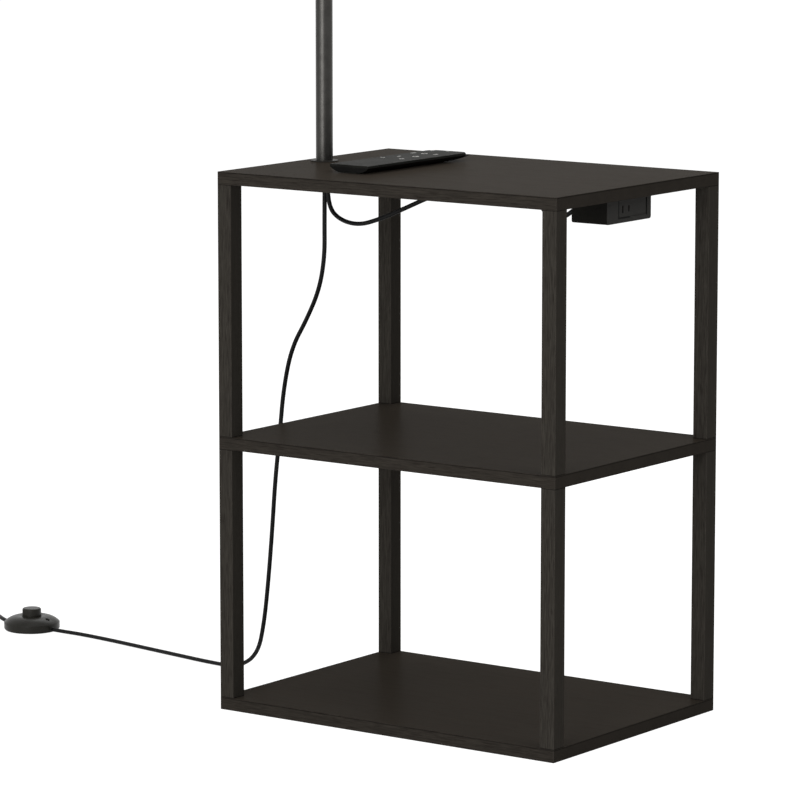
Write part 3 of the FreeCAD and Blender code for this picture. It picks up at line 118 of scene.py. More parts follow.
def make_softbox(name, azimuth, elevation, distance, width, height, power, level):
    """A rectangular lamp at that bearing from a point over the shelf's middle, facing it."""
    data = bpy.data.lights.new(name, "AREA")
    data.shape, data.size, data.size_y, data.energy = "RECTANGLE", width, height, power
    around, up = math.radians(azimuth), math.radians(elevation)
    away = Vector((math.sin(around) * math.cos(up), -math.cos(around) * math.cos(up), math.sin(up)))
    lamp = shown(bpy.data.objects.new(name, data))
    lamp.location = Vector((0, 0, level)) + away * distance
    lamp.rotation_euler = away.to_track_quat("Z", "Y").to_euler()


make_camera()
for softbox in SOFTBOXES:
    make_softbox(*softbox)


# ---------------------------------------------------------------- how node trees are made

def fill(tree, sockets, values):
    """Links each socket named to another socket, or sets its plain value."""
    for label, value in values.items():
        if isinstance(value, bpy.types.NodeSocket):
            tree.links.new(value, sockets[label])
        elif isinstance(value, (tuple, list)):
            size = len(sockets[label].default_value)
            sockets[label].default_value = (list(value) + [1])[:size]
        else:
            sockets[label].default_value = value


def node(tree, kind, inputs=None, **settings):
    """Adds a node: its settings first, and then what its sockets are given."""
    made = tree.nodes.new(kind)
    for setting, value in settings.items():
        setattr(made, setting, value)
    fill(tree, made.inputs, inputs or {})
    return made


def calc(tree, operation, *values, clamp=False):
    """One step of arithmetic."""
    return node(tree, "ShaderNodeMath", dict(enumerate(values)), operation=operation,
                use_clamp=clamp).outputs[0]


def times(tree, first, second):
    return calc(tree, "MULTIPLY", first, second)


def within(tree, value, low, high):
    """1 where the value lies between two limits."""
    return calc(tree, "COMPARE", value, (low + high) / 2, (high - low) / 2)


def ramp(tree, value, low, high, bottom=0.0, top=1.0):
    """Goes from bottom to top as the value goes from low to high."""
    return node(tree, "ShaderNodeMapRange", {
        "Value": value, "From Min": low, "From Max": high, "To Min": bottom,
        "To Max": top}).outputs[0]


def noise(tree, vector, scale, detail=2.0, roughness=0.5, distortion=0.0):
    return node(tree, "ShaderNodeTexNoise", {
        "Vector": vector, "Scale": scale, "Detail": detail, "Roughness": roughness,
        "Distortion": distortion}).outputs["Fac"]


def blend(tree, factor, first, second):
    """Two plain values mixed."""
    return node(tree, "ShaderNodeMix", {0: factor, 2: first, 3: second},
                data_type="FLOAT").outputs[0]


def mixed(tree, factor, first, second):
    """Two colours mixed."""
    return node(tree, "ShaderNodeMix", {0: factor, 6: first, 7: second}, data_type="RGBA",
                clamp_factor=True).outputs[2]


def split(tree, vector):
    """The X, Y and Z of a vector."""
    return node(tree, "ShaderNodeSeparateXYZ", {0: vector}).outputs


def rounded_edges(tree, radius):
    """The surface's normal, turned near its edges as if they were rounded."""
    return node(tree, "ShaderNodeBevel", {"Radius": radius}, samples=4).outputs[0]


def bumped(tree, height, strength, distance, **other):
    """The surface's normal, turned as that height would turn it."""
    return node(tree, "ShaderNodeBump", {
        "Strength": strength, "Distance": distance, "Height": height, **other}).outputs[0]


def object_place(tree):
    return node(tree, "ShaderNodeTexCoord").outputs["Object"]


def surface_normal(tree):
    return node(tree, "ShaderNodeNewGeometry").outputs["Normal"]


def surface():
    """A new material, with its tree and its Principled shader's sockets."""
    material = bpy.data.materials.new("finish")
    material.use_nodes = True
    tree = material.node_tree
    return material, tree, tree.nodes["Principled BSDF"].inputs


def shade(red, green, blue):
    """A linear colour from how it looks on a screen, 0 to 255."""
    return tuple(((c / 255 + 0.055) / 1.055) ** 2.4 if c > 10 else c / 255 / 12.92
                 for c in (red, green, blue))


def scaled(colour, share):
    return [c * share for c in colour]


def effect(name, inputs, outputs):
    """A shader node group. An input is given by its first value, which is None for a vector.
    Returns the group, the sockets that bring its inputs, and the ones that take its outputs."""
    group = bpy.data.node_groups.new(name, "ShaderNodeTree")
    for label, start in inputs.items():
        kind = "NodeSocketVector" if start is None else "NodeSocketFloat"
        socket = group.interface.new_socket(label, in_out="INPUT", socket_type=kind)
        if start is not None:
            socket.default_value = start
    for label in outputs:
        kind = "NodeSocketVector" if label == "Normal" else "NodeSocketFloat"
        group.interface.new_socket(label, in_out="OUTPUT", socket_type=kind)
    entry, ending = group.nodes.new("NodeGroupInput"), group.nodes.new("NodeGroupOutput")
    return group, entry.outputs, ending.inputs


def use(tree, group, values):
    """Places a node group in a material; returns its outputs."""
    return node(tree, "ShaderNodeGroup", values, node_tree=group).outputs


# ---------------------------------------------------------------- effects that materials share

def make_woodgrain():
    """Streaks, pores and clouds of a wood whose grain runs along X of the vector given."""
    group, given, out = effect("woodgrain", {
        "Vector": None, "Streak Width": 0.006, "Pore Width": 0.0012, "Stretch": 30.0},
        ("Streaks", "Pores", "Cloud"))
    stretch = node(group, "ShaderNodeCombineXYZ", {"X": given["Stretch"], "Y": 1.0, "Z": 1.0})
    along = node(group, "ShaderNodeVectorMath", {0: given["Vector"], 1: stretch.outputs[0]},
                 operation="DIVIDE").outputs[0]
    streak_scale = calc(group, "DIVIDE", 1.0, given["Streak Width"])
    pore_scale = calc(group, "DIVIDE", 1.0, given["Pore Width"])
    cloud_scale = calc(group, "DIVIDE", 0.22, given["Streak Width"])
    streaks = noise(group, along, streak_scale, detail=4.0, roughness=0.62, distortion=0.25)
    pores = noise(group, along, pore_scale, roughness=0.55)
    cloud = noise(group, along, cloud_scale, distortion=0.4)
    fill(group, out, {
        "Streaks": ramp(group, streaks, 0.3, 0.7), "Pores": ramp(group, pores, 0.52, 0.68),
        "Cloud": ramp(group, cloud, 0.35, 0.65)})
    return group


def make_moulded_grain():
    """The fine orange-peel texture of moulded plastic, with a faint blotchiness."""
    group, given, out = effect("moulded_grain", {
        "Vector": None, "Grain Size": 0.0007, "Depth": 0.00005, "Edge Radius": 0.0004},
        ("Normal", "Blotch", "Grain"))
    grain = noise(group, given["Vector"], calc(group, "DIVIDE", 1.0, given["Grain Size"]))
    blotch = noise(group, given["Vector"], 38.0, detail=3.0, roughness=0.55)
    edges = rounded_edges(group, given["Edge Radius"])
    fill(group, out, {
        "Normal": bumped(group, grain, 0.6, given["Depth"], Normal=edges),
        "Blotch": ramp(group, blotch, 0.35, 0.65), "Grain": grain})
    return group


def make_linen_weave():
    """Crossing threads of uneven thickness, along X and Y of the vector given."""
    group, given, out = effect("linen_weave", {
        "Vector": None, "Thread": 0.00062, "Slub": 0.5}, ("Height", "Slubs"))
    turn = calc(group, "DIVIDE", math.pi, given["Thread"])
    wander = noise(group, given["Vector"], 60.0)
    waves = []
    for place in split(group, given["Vector"])[:2]:
        wandering = calc(group, "MULTIPLY_ADD", wander, 0.0012, place)
        waves.append(calc(group, "SINE", times(group, wandering, turn)))
    warp, weft = [calc(group, "ABSOLUTE", wave) for wave in waves]
    over = calc(group, "GREATER_THAN", times(group, *waves), 0.0)
    long_spots = []
    for squeeze in ((1, 0.05, 1), (0.05, 1, 1)):
        drawn = node(group, "ShaderNodeMapping", {"Vector": given["Vector"], "Scale": squeeze})
        long_spots.append(noise(group, drawn.outputs[0], 900.0, detail=1.0))
    slubs = ramp(group, calc(group, "MAXIMUM", *long_spots), 0.55, 0.8)
    fill(group, out, {
        "Height": blend(group, over, weft, warp), "Slubs": times(group, slubs, given["Slub"])})
    return group


def make_metal_wear():
    """Fine rub marks and soft stains of a metal surface."""
    group, given, out = effect("metal_wear", {
        "Vector": None, "Mark Size": 0.0006, "Edge Radius": 0.0003}, ("Marks", "Stain", "Normal"))
    mark_scale = calc(group, "DIVIDE", 1.0, given["Mark Size"])
    marks = noise(group, given["Vector"], mark_scale, detail=3.0, roughness=0.6)
    stain = noise(group, given["Vector"], 90.0, detail=3.0, roughness=0.6)
    edges = rounded_edges(group, given["Edge Radius"])
    fill(group, out, {
        "Marks": ramp(group, marks, 0.35, 0.65), "Stain": ramp(group, stain, 0.4, 0.7),
        "Normal": bumped(group, marks, 0.5, 0.00002, Normal=edges)})
    return group


woodgrain = make_woodgrain()
moulded_grain = make_moulded_grain()
linen_weave = make_linen_weave()
metal_wear = make_metal_wear()


# ---------------------------------------------------------------- this lamp's finishes

BOARD_THICKNESS = 0.015
BOARD_STEP = 0.315          # from one board's underside to the next one's
BAND_DROP = 0.0012          # from a board's top to the joint line in its edge band
BAND_SEAM, POST_SEAM = 0.00035, 0.0007      # half the width of each dark line
LAMINATE_EDGE = 0.0007      # radius of its sharp edges

FACE_GRAIN = {"Streak Width": 0.0042, "Pore Width": 0.0012, "Stretch": 34.0}
UPRIGHT_GRAIN = {"Streak Width": 0.0013, "Pore Width": 0.0010, "Stretch": 20.0}
SIDE_CALM = 0.7             # share of the grain that the left and right sides lose
FACE_SHEEN_SHARE = 0.75           # share of a flat face that the painted sheen, an even lighter colour, covers
FACE_STREAKS, FACE_PORES = (0.42, 0.66), 0.3
CLOUD_SHARE, PORE_SHARE, SEAM_SHARE, CORNER_HIGHLIGHT_SHARE = 0.2, 0.55, 0.8, 0.6
FACE_ROUGHNESS, UPRIGHT_ROUGHNESS, PORE_ROUGHNESS = 0.33, (0.62, 0.52), 0.12

# painted sheen on the flat faces, and a painted highlight down the upright corners
FACE_SHEEN_COLOUR, CORNER_HIGHLIGHT_COLOUR = shade(64, 58, 51), shade(96, 92, 85)
PORE_COLOUR, SEAM_COLOUR = shade(27, 22, 20), shade(20, 18, 17)
# painted shadow in the edges of the outlet panel's recess
RECESS_SHADOW_COLOUR = shade(8, 8, 7)
PANEL_RECESS_SHADOWS = [           # painted shadow lines round the outlet panel's recess: lowest and highest Y, lowest and highest Z
    (-0.0203, -0.0178, 0.6056, 0.6264), (-0.0203, 0.0048, 0.6056, 0.6073),
    (0.0387, 0.0404, 0.6056, 0.6264)]


def laminate_grain(tree, turned, facing, upright):
    """Streaks, pores and clouds: long and faint on what faces up, short and strong on what stands
    upright, and calmer on the left and right sides."""
    flat = use(tree, woodgrain, {"Vector": turned, **FACE_GRAIN})
    edge = use(tree, woodgrain, {"Vector": turned, **UPRIGHT_GRAIN})
    sideways = calc(tree, "GREATER_THAN", calc(tree, "ABSOLUTE", facing[0]), 0.5)
    calm = calc(tree, "MULTIPLY_ADD", sideways, -SIDE_CALM, 1.0)
    flat_streaks = ramp(tree, flat["Streaks"], 0.0, 1.0, *FACE_STREAKS)
    edge_streaks = blend(tree, calm, 0.5, edge["Streaks"])
    flat_pores = times(tree, flat["Pores"], FACE_PORES)
    edge_pores = times(tree, edge["Pores"], calm)
    streaks = blend(tree, upright, flat_streaks, edge_streaks)
    pores = blend(tree, upright, flat_pores, edge_pores)
    return streaks, pores, flat["Cloud"]


def painted_corner_highlight(tree, normal, edges, upright):
    """A mask for the painted highlight down the upright corners, where the rounded normal turns away
    but stays level.
    """
    agreement = node(tree, "ShaderNodeVectorMath", {0: edges, 1: normal}, operation="DOT_PRODUCT")
    corner_highlight = times(tree, ramp(tree, agreement.outputs[1], 0.995, 0.9), upright)
    steepness = calc(tree, "ABSOLUTE", split(tree, edges)[2])
    return times(tree, corner_highlight, calc(tree, "LESS_THAN", steepness, 0.15))


def laminate(light, dark, turn, seams):
    """Dark woodgrain laminate whose grain runs along X before the turn. A seam is (height within
    a storey, half width): a thin dark line round the upright faces."""
    material, tree, shader = surface()
    place, normal = object_place(tree), surface_normal(tree)
    turned = node(tree, "ShaderNodeMapping", {"Vector": place, "Rotation": turn}).outputs[0]
    facing = split(tree, normal)
    upright = calc(tree, "LESS_THAN", calc(tree, "ABSOLUTE", facing[2]), 0.5)
    streaks, pores, cloud = laminate_grain(tree, turned, facing, upright)
    tone = mixed(tree, streaks, dark, light)
    # painted sheen: faces that face up are mostly covered by an even lighter colour, standing in for
    # the light they catch
    plain = calc(tree, "MULTIPLY_ADD", upright, -FACE_SHEEN_SHARE, FACE_SHEEN_SHARE)
    tone = mixed(tree, plain, tone, FACE_SHEEN_COLOUR)
    tone = mixed(tree, times(tree, cloud, CLOUD_SHARE), tone, light)
    tone = mixed(tree, times(tree, pores, PORE_SHARE), tone, PORE_COLOUR)
    level = calc(tree, "MODULO", split(tree, place)[2], BOARD_STEP)
    for height, half_width in seams:
        line = times(tree, upright, calc(tree, "COMPARE", level, height, half_width))
        tone = mixed(tree, times(tree, line, SEAM_SHARE), tone, SEAM_COLOUR)
    # painted highlight: a lighter colour down the upright corners
    edges = rounded_edges(tree, LAMINATE_EDGE)
    corner_highlight = times(tree, painted_corner_highlight(tree, normal, edges, upright), CORNER_HIGHLIGHT_SHARE)
    upright_gloss = ramp(tree, streaks, 0.0, 1.0, *UPRIGHT_ROUGHNESS)
    gloss = blend(tree, upright, FACE_ROUGHNESS, upright_gloss)
    relief = calc(tree, "SUBTRACT", times(tree, streaks, 0.4), pores)
    fill(tree, shader, {
        "Base Color": mixed(tree, corner_highlight, tone, CORNER_HIGHLIGHT_COLOUR),
        "Roughness": calc(tree, "MULTIPLY_ADD", pores, PORE_ROUGHNESS, gloss),
        "Normal": bumped(tree, relief, 0.35, 0.0001, Normal=edges),
        "Specular IOR Level": 0.0005})
    return material


def moulded(colour, roughness=0.5, grain=0.0007, depth=0.00005, specular=0.4, edge=0.0004):
    """Moulded plastic with a fine texture: its grain's size and depth, and its edges' radius."""
    material, tree, shader = surface()
    finish = use(tree, moulded_grain, {
        "Vector": object_place(tree), "Grain Size": grain, "Depth": depth, "Edge Radius": edge})
    fill(tree, shader, {
        "Base Color": mixed(tree, finish["Blotch"], scaled(colour, 0.8), scaled(colour, 1.12)),
        "Roughness": ramp(tree, finish["Grain"], 0.3, 0.7, roughness - 0.05, roughness + 0.05),
        "Normal": finish["Normal"],
        "Specular IOR Level": specular})
    return material


def outlet_plastic(shaded_side_colour, lit_front_colour, recess_shadows):
    """Black plastic with painted shade on the faces round the box and painted light on its front,
    and painted shadow lines along the panel's recess there.
    """
    material = moulded(shaded_side_colour, grain=0.0008, specular=0.04)
    tree = material.node_tree
    base = tree.nodes["Principled BSDF"].inputs["Base Color"]
    # the front gets a lit copy of the plastic and every other face a shaded copy: painted light and
    # painted shade
    front = calc(tree, "GREATER_THAN", split(tree, surface_normal(tree))[0], 0.7)
    tone = mixed(tree, front, base.links[0].from_socket, lit_front_colour)
    place = split(tree, object_place(tree))
    # painted shadow: a dark line along each edge of the panel's recess
    for left, right, foot, head in recess_shadows:
        level, upwards = within(tree, place[1], left, right), within(tree, place[2], foot, head)
        recess_shadow = times(tree, times(tree, level, upwards), front)
        tone = mixed(tree, recess_shadow, tone, RECESS_SHADOW_COLOUR)
    tree.links.new(tone, base)
    return material


def metal(colour, roughness=0.32, painted=False, mark_size=0.0006, specular=0.5):
    """Bare or painted metal with faint rub marks."""
    material, tree, shader = surface()
    wear = use(tree, metal_wear, {"Vector": object_place(tree), "Mark Size": mark_size})
    fill(tree, shader, {
        "Base Color": mixed(tree, wear["Stain"], colour, scaled(colour, 0.82)),
        "Roughness": ramp(tree, wear["Marks"], 0.0, 1.0, roughness - 0.05, roughness + 0.07),
        "Normal": wear["Normal"],
        "Metallic": 0.0 if painted else 1.0,
        "Specular IOR Level": specular})
    return material


def cloth(colour, thread, coordinates="UV"):
    """Woven linen, on the piece's UV map in metres or on its place in the lamp."""
    material, tree, shader = surface()
    place = node(tree, "ShaderNodeTexCoord").outputs[coordinates]
    weave = use(tree, linen_weave, {"Vector": place, "Thread": thread})
    tone = mixed(tree, weave["Height"], scaled(colour, 0.72), colour)
    height = calc(tree, "ADD", weave["Height"], weave["Slubs"])
    fill(tree, shader, {
        "Base Color": mixed(tree, weave["Slubs"], tone, scaled(colour, 1.05)),
        "Roughness": ramp(tree, weave["Height"], 0.0, 1.0, 0.95, 0.82),
        "Normal": bumped(tree, height, 0.7, thread * 0.35),
        "Sheen Weight": 0.3,
        "Specular IOR Level": 0.2})
    return material


def frosted_glass(colour):
    """Glass with a fine white frosting inside."""
    material, tree, shader = surface()
    finish = use(tree, moulded_grain, {
        "Vector": object_place(tree), "Grain Size": 0.0004, "Depth": 0.00002, "Edge Radius": 0.0})
    fill(tree, shader, {
        "Base Color": mixed(tree, finish["Blotch"], colour, scaled(colour, 0.97)),
        "Roughness": ramp(tree, finish["Grain"], 0.3, 0.7, 0.3, 0.38),
        "Transmission Weight": 0.35,
        "IOR": 1.46})
    return material


finishes = {
    "board_laminate": laminate(shade(59, 55, 50), shade(40, 37, 34), (0, 0, 0),
                               [(BOARD_THICKNESS - BAND_DROP, BAND_SEAM)]),
    "post_laminate": laminate(shade(64, 61, 56), shade(43, 40, 37), (0, math.pi / 2, 0),
                              [(BOARD_THICKNESS, POST_SEAM), (BOARD_STEP, POST_SEAM)]),
    "zinc_steel": metal(shade(186, 188, 190)),
    "insert_brass": metal(shade(200, 168, 104), 0.3),
    "pole_paint": metal(shade(64, 63, 61), mark_size=0.0011),
    "flange_paint": metal(shade(42, 40, 37), 0.45, painted=True, mark_size=0.0011, specular=0.06),
    "contact_metal": metal(shade(206, 190, 150), 0.3),
    "bulb_metal": metal(shade(200, 200, 202), 0.28),
    "cell_steel": metal(shade(196, 197, 199), 0.25),
    "bulb_glass": frosted_glass(shade(246, 246, 240)),
    "shade_cloth": cloth(shade(236, 229, 214), 0.00062),
    "trim_cloth": cloth(shade(228, 220, 203), 0.0005, "Object"),
    "bushing_plastic": moulded(shade(38, 38, 38), 0.45),
    "lead_insulation": moulded(shade(44, 44, 44), grain=0.0009),
    "box_plastic": outlet_plastic(shade(19, 18, 15), shade(47, 46, 44), PANEL_RECESS_SHADOWS),
    "receptacle_plastic": moulded(shade(45, 44, 42), 0.55, 0.0006, 0.00003, 0.12),
    "clip_plastic": moulded(shade(36, 36, 35)),
    "cord_jacket": moulded(shade(16, 16, 16), 0.5, 0.0012, 0.00008, 0.12, edge=0.0),
    "switch_plastic": moulded(shade(36, 35, 31), 0.31, 0.0007, 0.00003, 0.13, edge=0.0009),
    "mechanism_plastic": moulded(shade(205, 202, 192)),
    "plug_plastic": moulded(shade(34, 34, 33), 0.45),
    "remote_plastic": moulded(shade(34, 34, 32), 0.5, 0.0006, 0.00003, 0.02),
    # painted shade: a darker copy of the remote's plastic for its lower case
    "remote_underside_shaded": moulded(shade(20, 20, 19), 0.5, 0.0006, 0.00003, 0.05),
    "remote_film": moulded(shade(54, 54, 52), 0.55, 0.0005, 0.00002, 0.01),
    "print_white": moulded(shade(238, 238, 232), specular=0.3),
}
for finish_name, finish_material in finishes.items():
    finish_material.name = finish_name


def finish_nodes():
    """Gives every carried-over piece of the model the finish of its slot, or one of its own."""
    # the remote's lower case takes a darker copy of its plastic, painted shade under the remote
    own = {"pole_flange": "flange_paint", "remote_lower_case": "remote_underside_shaded"}
    for row in frame["record"]["subparts"]:
        mesh = nodes[row["node"]].data
        mesh.materials.clear()
        mesh.materials.append(finishes[own.get(row["node"], row["material_slot"])])


def new_piece(name, mesh, slot, body="lamp", finish=None):
    """A piece with this mesh that rides on a body, in its slot's finish unless one is given."""
    mesh.materials.clear()
    mesh.materials.append(finishes[finish or slot])
    piece = shown(bpy.data.objects.new(name, mesh))
    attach(piece, body)
    return piece


# ---------------------------------------------------------------- floor and backdrop

FLOOR_REACH, FLOOR_LEVEL = 60.0, -0.0004
PAPER, SHADOW_PAPER, WHITE = (0.8, 0.8, 0.8), (0.35, 0.35, 0.35), (1, 1, 1)
FLOOR_GLOW, WORLD_LIGHT = 0.95, 0.27


def seen_rays(tree):
    """1 for the rays that show the background: camera, glossy and transmission."""
    path = node(tree, "ShaderNodeLightPath").outputs
    some = calc(tree, "ADD", path["Is Camera Ray"], path["Is Glossy Ray"])
    return calc(tree, "ADD", some, path["Is Transmission Ray"], clamp=True)


def make_floor():
    """A pale floor that those rays see almost white. It keeps the lamp's shadow."""
    corners = [(x * FLOOR_REACH, y * FLOOR_REACH, FLOOR_LEVEL)
               for x, y in ((-1, -1), (1, -1), (1, 1), (-1, 1))]
    mesh = mesh_of("floor", corners, [(0, 1, 2, 3)])
    material, tree, _ = surface()
    material.name = "floor_paper"
    tree.nodes.clear()
    paper = node(tree, "ShaderNodeBsdfDiffuse", {"Color": PAPER}).outputs[0]
    shadow = node(tree, "ShaderNodeBsdfDiffuse", {"Color": SHADOW_PAPER}).outputs[0]
    glow = node(tree, "ShaderNodeEmission", {"Color": WHITE, "Strength": FLOOR_GLOW}).outputs[0]
    white = node(tree, "ShaderNodeAddShader", {0: shadow, 1: glow}).outputs[0]
    both = node(tree, "ShaderNodeMixShader", {0: seen_rays(tree), 1: paper, 2: white}).outputs[0]
    node(tree, "ShaderNodeOutputMaterial", {"Surface": both})
    mesh.materials.append(material)
    shown(bpy.data.objects.new("floor", mesh))


def make_world():
    """A dim even light that those rays see white."""
    world = bpy.data.worlds.new("studio")
    world.use_nodes = True
    bpy.context.scene.world = world
    tree = world.node_tree
    tree.nodes.clear()
    dim, white = [
        node(tree, "ShaderNodeBackground", {"Color": WHITE, "Strength": strength}).outputs[0]
        for strength in (WORLD_LIGHT, 1.0)]
    both = node(tree, "ShaderNodeMixShader", {0: seen_rays(tree), 1: dim, 2: white}).outputs[0]
    node(tree, "ShaderNodeOutputWorld", {"Surface": both})


make_floor()
make_world()
bpy.context.scene.view_settings.view_transform = "Standard"


# ---------------------------------------------------------------- the routes of the leads

FLOOR_LIE = 0.00245         # height of the lead's middle where it lies flat on the floor

SWITCH_PLACE, SWITCH_TURN = (-0.731, 0.0582), math.radians(-2)
SWITCH_SIDE, SWITCH_LEVEL = 0.03603, 0.0036


def on_switch(along, level):
    """A point on the line through the foot switch's two cord openings."""
    return (*moved(SWITCH_PLACE, SWITCH_TURN, along), level)


MAINS_ROUTE = [
    (-0.2105, 0, 0.6148), (-0.211, 0, 0.572), (-0.2115, 0.001, 0.530), (-0.2225, 0.005, 0.489),
    (-0.2435, 0.008, 0.451), (-0.270, 0.011, 0.412), (-0.284, 0.013, 0.360),
    (-0.2916, 0.0152, 0.304), (-0.3003, 0.017, 0.246), (-0.306, 0.018, 0.184),
    (-0.3135, 0.020, 0.122), (-0.3215, 0.021, 0.064), (-0.332, 0.021, 0.022),
    (-0.362, 0.020, FLOOR_LIE), (-0.411, 0.0225, FLOOR_LIE), (-0.470, 0.0325, FLOOR_LIE),
    (-0.533, 0.0430, FLOOR_LIE), (-0.592, 0.0530, FLOOR_LIE), (-0.648, 0.0595, 0.0026),
    on_switch(SWITCH_SIDE + 0.011, 0.0034), on_switch(SWITCH_SIDE, SWITCH_LEVEL)]
BOX_ROUTE = [
    (-0.2060, 0, 0.6148), (-0.2056, 0, 0.591), (-0.1882, 0, 0.5755), (-0.1595, 0, 0.571),
    (-0.128, 0, 0.5806), (-0.091, 0, 0.596), (-0.055, 0, 0.612), (-0.018, 0, 0.6235),
    (0.0165, 0, 0.6267), (0.0335, 0, 0.6267), (0.056, 0, 0.624), (0.0735, 0, 0.6225),
    (0.095, 0.0075, 0.614), (0.111, 0.002, 0.6015), (0.124, 0, 0.5986), (0.137, 0, 0.601),
    (0.148, 0, 0.6087), (0.1555, 0, 0.6135)]
PLUG_ROUTE = [
    on_switch(-SWITCH_SIDE, SWITCH_LEVEL), on_switch(-SWITCH_SIDE - 0.006, 0.0046),
    (-0.7875, 0.0655, 0.0054), (-0.8125, 0.0870, 0.0031)]

COIL_START, COIL_HEADING = (-0.8443, 0.0961), math.atan2(0.34, -0.94)
COIL_LOW, COIL_HIGH = 0.00265, 0.0081       # the heights of the coil's two layers
COIL_HEART, COIL_PITCH = 0.020, 0.0056      # its smallest radius, and how much a turn adds
COIL_REACH, COIL_STEP = 810, 18             # degrees in a layer, and between two points
COIL_END_RUN = 0.010


def coil_radius(angle):
    return COIL_HEART + COIL_PITCH * abs(angle) / 360


def coil_level(angle):
    """Height at an angle: the lower layer before the reversal, the upper one after it."""
    return COIL_LOW + (COIL_HIGH - COIL_LOW) * eased(angle / 180 + 0.5)


def coil_points():
    """The lead's points round the coil, which spirals in, climbs a layer and spirals out."""
    side = COIL_HEADING - math.pi / 2
    centre = moved(COIL_START, side, -coil_radius(COIL_REACH))
    points = []
    for angle in range(-COIL_REACH, COIL_REACH + 1, COIL_STEP):
        bearing = side + math.radians(angle + COIL_REACH)
        points.append((*moved(centre, bearing, coil_radius(angle)), coil_level(angle)))
    heading = side + math.radians(2 * COIL_REACH) + math.pi / 2
    points.append((*moved(points[-1], heading, COIL_END_RUN), points[-1][2]))
    return points


def spline_line(points):
    """Points along the smooth line that has the route's points as its control points."""
    data = bpy.data.curves.new("route", "CURVE")
    data.dimensions, data.resolution_u = "3D", 10
    spline = data.splines.new("NURBS")
    spline.points.add(len(points) - 1)
    for made, point in zip(spline.points, points):
        made.co = (*point, 1)
    spline.order_u = 3
    spline.use_endpoint_u = True
    holder = bpy.data.objects.new("route", data)
    mesh = bpy.data.meshes.new_from_object(holder)
    line = [vertex.co.copy() for vertex in mesh.vertices]
    bpy.data.objects.remove(holder)
    bpy.data.curves.remove(data)
    bpy.data.meshes.remove(mesh)
    return line


# ---------------------------------------------------------------- the two-core lead

LOBE_RADIUS, LOBE_CENTRE, LOBE_STEPS = 0.0024, 0.0003, 10


def twin_section():
    """The outline of the two-core lead, broad along its first number."""
    reach = math.acos(-LOBE_CENTRE / LOBE_RADIUS)
    angles = [reach * (2 * k / LOBE_STEPS - 1) for k in range(LOBE_STEPS + 1)]
    lobe = [(LOBE_CENTRE + LOBE_RADIUS * math.cos(a), LOBE_RADIUS * math.sin(a)) for a in angles]
    return lobe + [(-x, -y) for x, y in lobe[1:-1]]


def tangents_of(line):
    last = len(line) - 1
    return [(line[min(k + 1, last)] - line[max(k - 1, 0)]).normalized() for k in range(last + 1)]


def lengths_along(line):
    """How far along a line each of its points lies."""
    lengths = [0.0]
    for first, second in zip(line, line[1:]):
        lengths.append(lengths[-1] + (second - first).length)
    return lengths


def square_to(tangent, direction):
    """The direction nearest to this one that is square to a tangent."""
    return (direction - tangent * direction.dot(tangent)).normalized()


def turn_at(length, turns):
    """The turn at a length, from the (length, turn) pairs that are known."""
    for (start, low), (stop, high) in zip(turns, turns[1:]):
        if length <= stop:
            break
    return low + (high - low) * eased((length - start) / (stop - start))


def broad_directions(tangents, lengths, broad):
    """Where the section's broad side points: carried along without twist, then turned evenly
    between the places, given as (share of the length, direction), where it lies a known way."""
    carried = [square_to(tangents[0], broad[0][1])]
    for before, after in zip(tangents, tangents[1:]):
        carried.append((before.rotation_difference(after) @ carried[-1]).normalized())
    turns = []
    for share, wanted in broad:
        place = min(range(len(lengths)), key=lambda k: abs(lengths[k] - share * lengths[-1]))
        tangent, here = tangents[place], carried[place]
        aim = square_to(tangent, wanted)
        angle = math.atan2(here.cross(aim).dot(tangent), here.dot(aim))
        if turns:           # either broad side may point there, whichever is the smaller turn
            angle -= math.pi * round((angle - turns[-1][1]) / math.pi)
        turns.append((lengths[place], angle))
    return [Matrix.Rotation(turn_at(length, turns), 3, tangent) @ vector
            for length, tangent, vector in zip(lengths, tangents, carried)]


def swept(name, line, broad):
    """A closed mesh of the twin section along a line, mapped by its length."""
    section, tangents, lengths = twin_section(), tangents_of(line), lengths_along(line)
    directions = broad_directions(tangents, lengths, broad)
    count = len(section)
    vertices, faces, places = [], [], []
    for point, tangent, length, direction in zip(line, tangents, lengths, directions):
        thin = tangent.cross(direction)
        vertices += [point + direction * x + thin * y for x, y in section]
        places += [(length, k / count) for k in range(count)]
    last = len(vertices) - count
    for low in range(0, last, count):
        high = low + count
        for k in range(count):
            after = (k + 1) % count
            faces.append((low + k, low + after, high + after, high + k))
    faces += [tuple(reversed(range(count))), tuple(range(last, last + count))]
    mesh = mesh_of(name, vertices, faces)
    mesh.shade_smooth()
    map_surface(mesh, places)
    return mesh


def lead(name, route, broad, nodes_replaced):
    """A stretch of two-core lead that takes the place of the model's plain tubes."""
    line = spline_line(route)
    piece = new_piece(name, swept(name, line, broad), "cord_jacket")
    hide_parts(*nodes_replaced)


# ---------------------------------------------------------------- ribs, thread and stitches

def tree_of(name, inputs):
    """A Geometry Nodes tree with these named inputs: (label, kind of socket, starting value)."""
    tree = bpy.data.node_groups.new(name, "GeometryNodeTree")
    for label, kind, start in inputs:
        socket = tree.interface.new_socket(label, in_out="INPUT", socket_type="NodeSocket" + kind)
        socket.default_value = start
    tree.interface.new_socket("Finish", in_out="INPUT", socket_type="NodeSocketMaterial")
    tree.interface.new_socket("Geometry", in_out="OUTPUT", socket_type="NodeSocketGeometry")
    return tree, tree.nodes.new("NodeGroupInput").outputs


def end_tree(tree, given, shape):
    """Ends a tree: its instances made real, with the finish that it is given."""
    real = node(tree, "GeometryNodeRealizeInstances", {"Geometry": shape}).outputs[0]
    finished = node(tree, "GeometryNodeSetMaterial", {"Geometry": real, "Material": given["Finish"]})
    tree.links.new(finished.outputs[0], tree.nodes.new("NodeGroupOutput").inputs[0])
    return tree


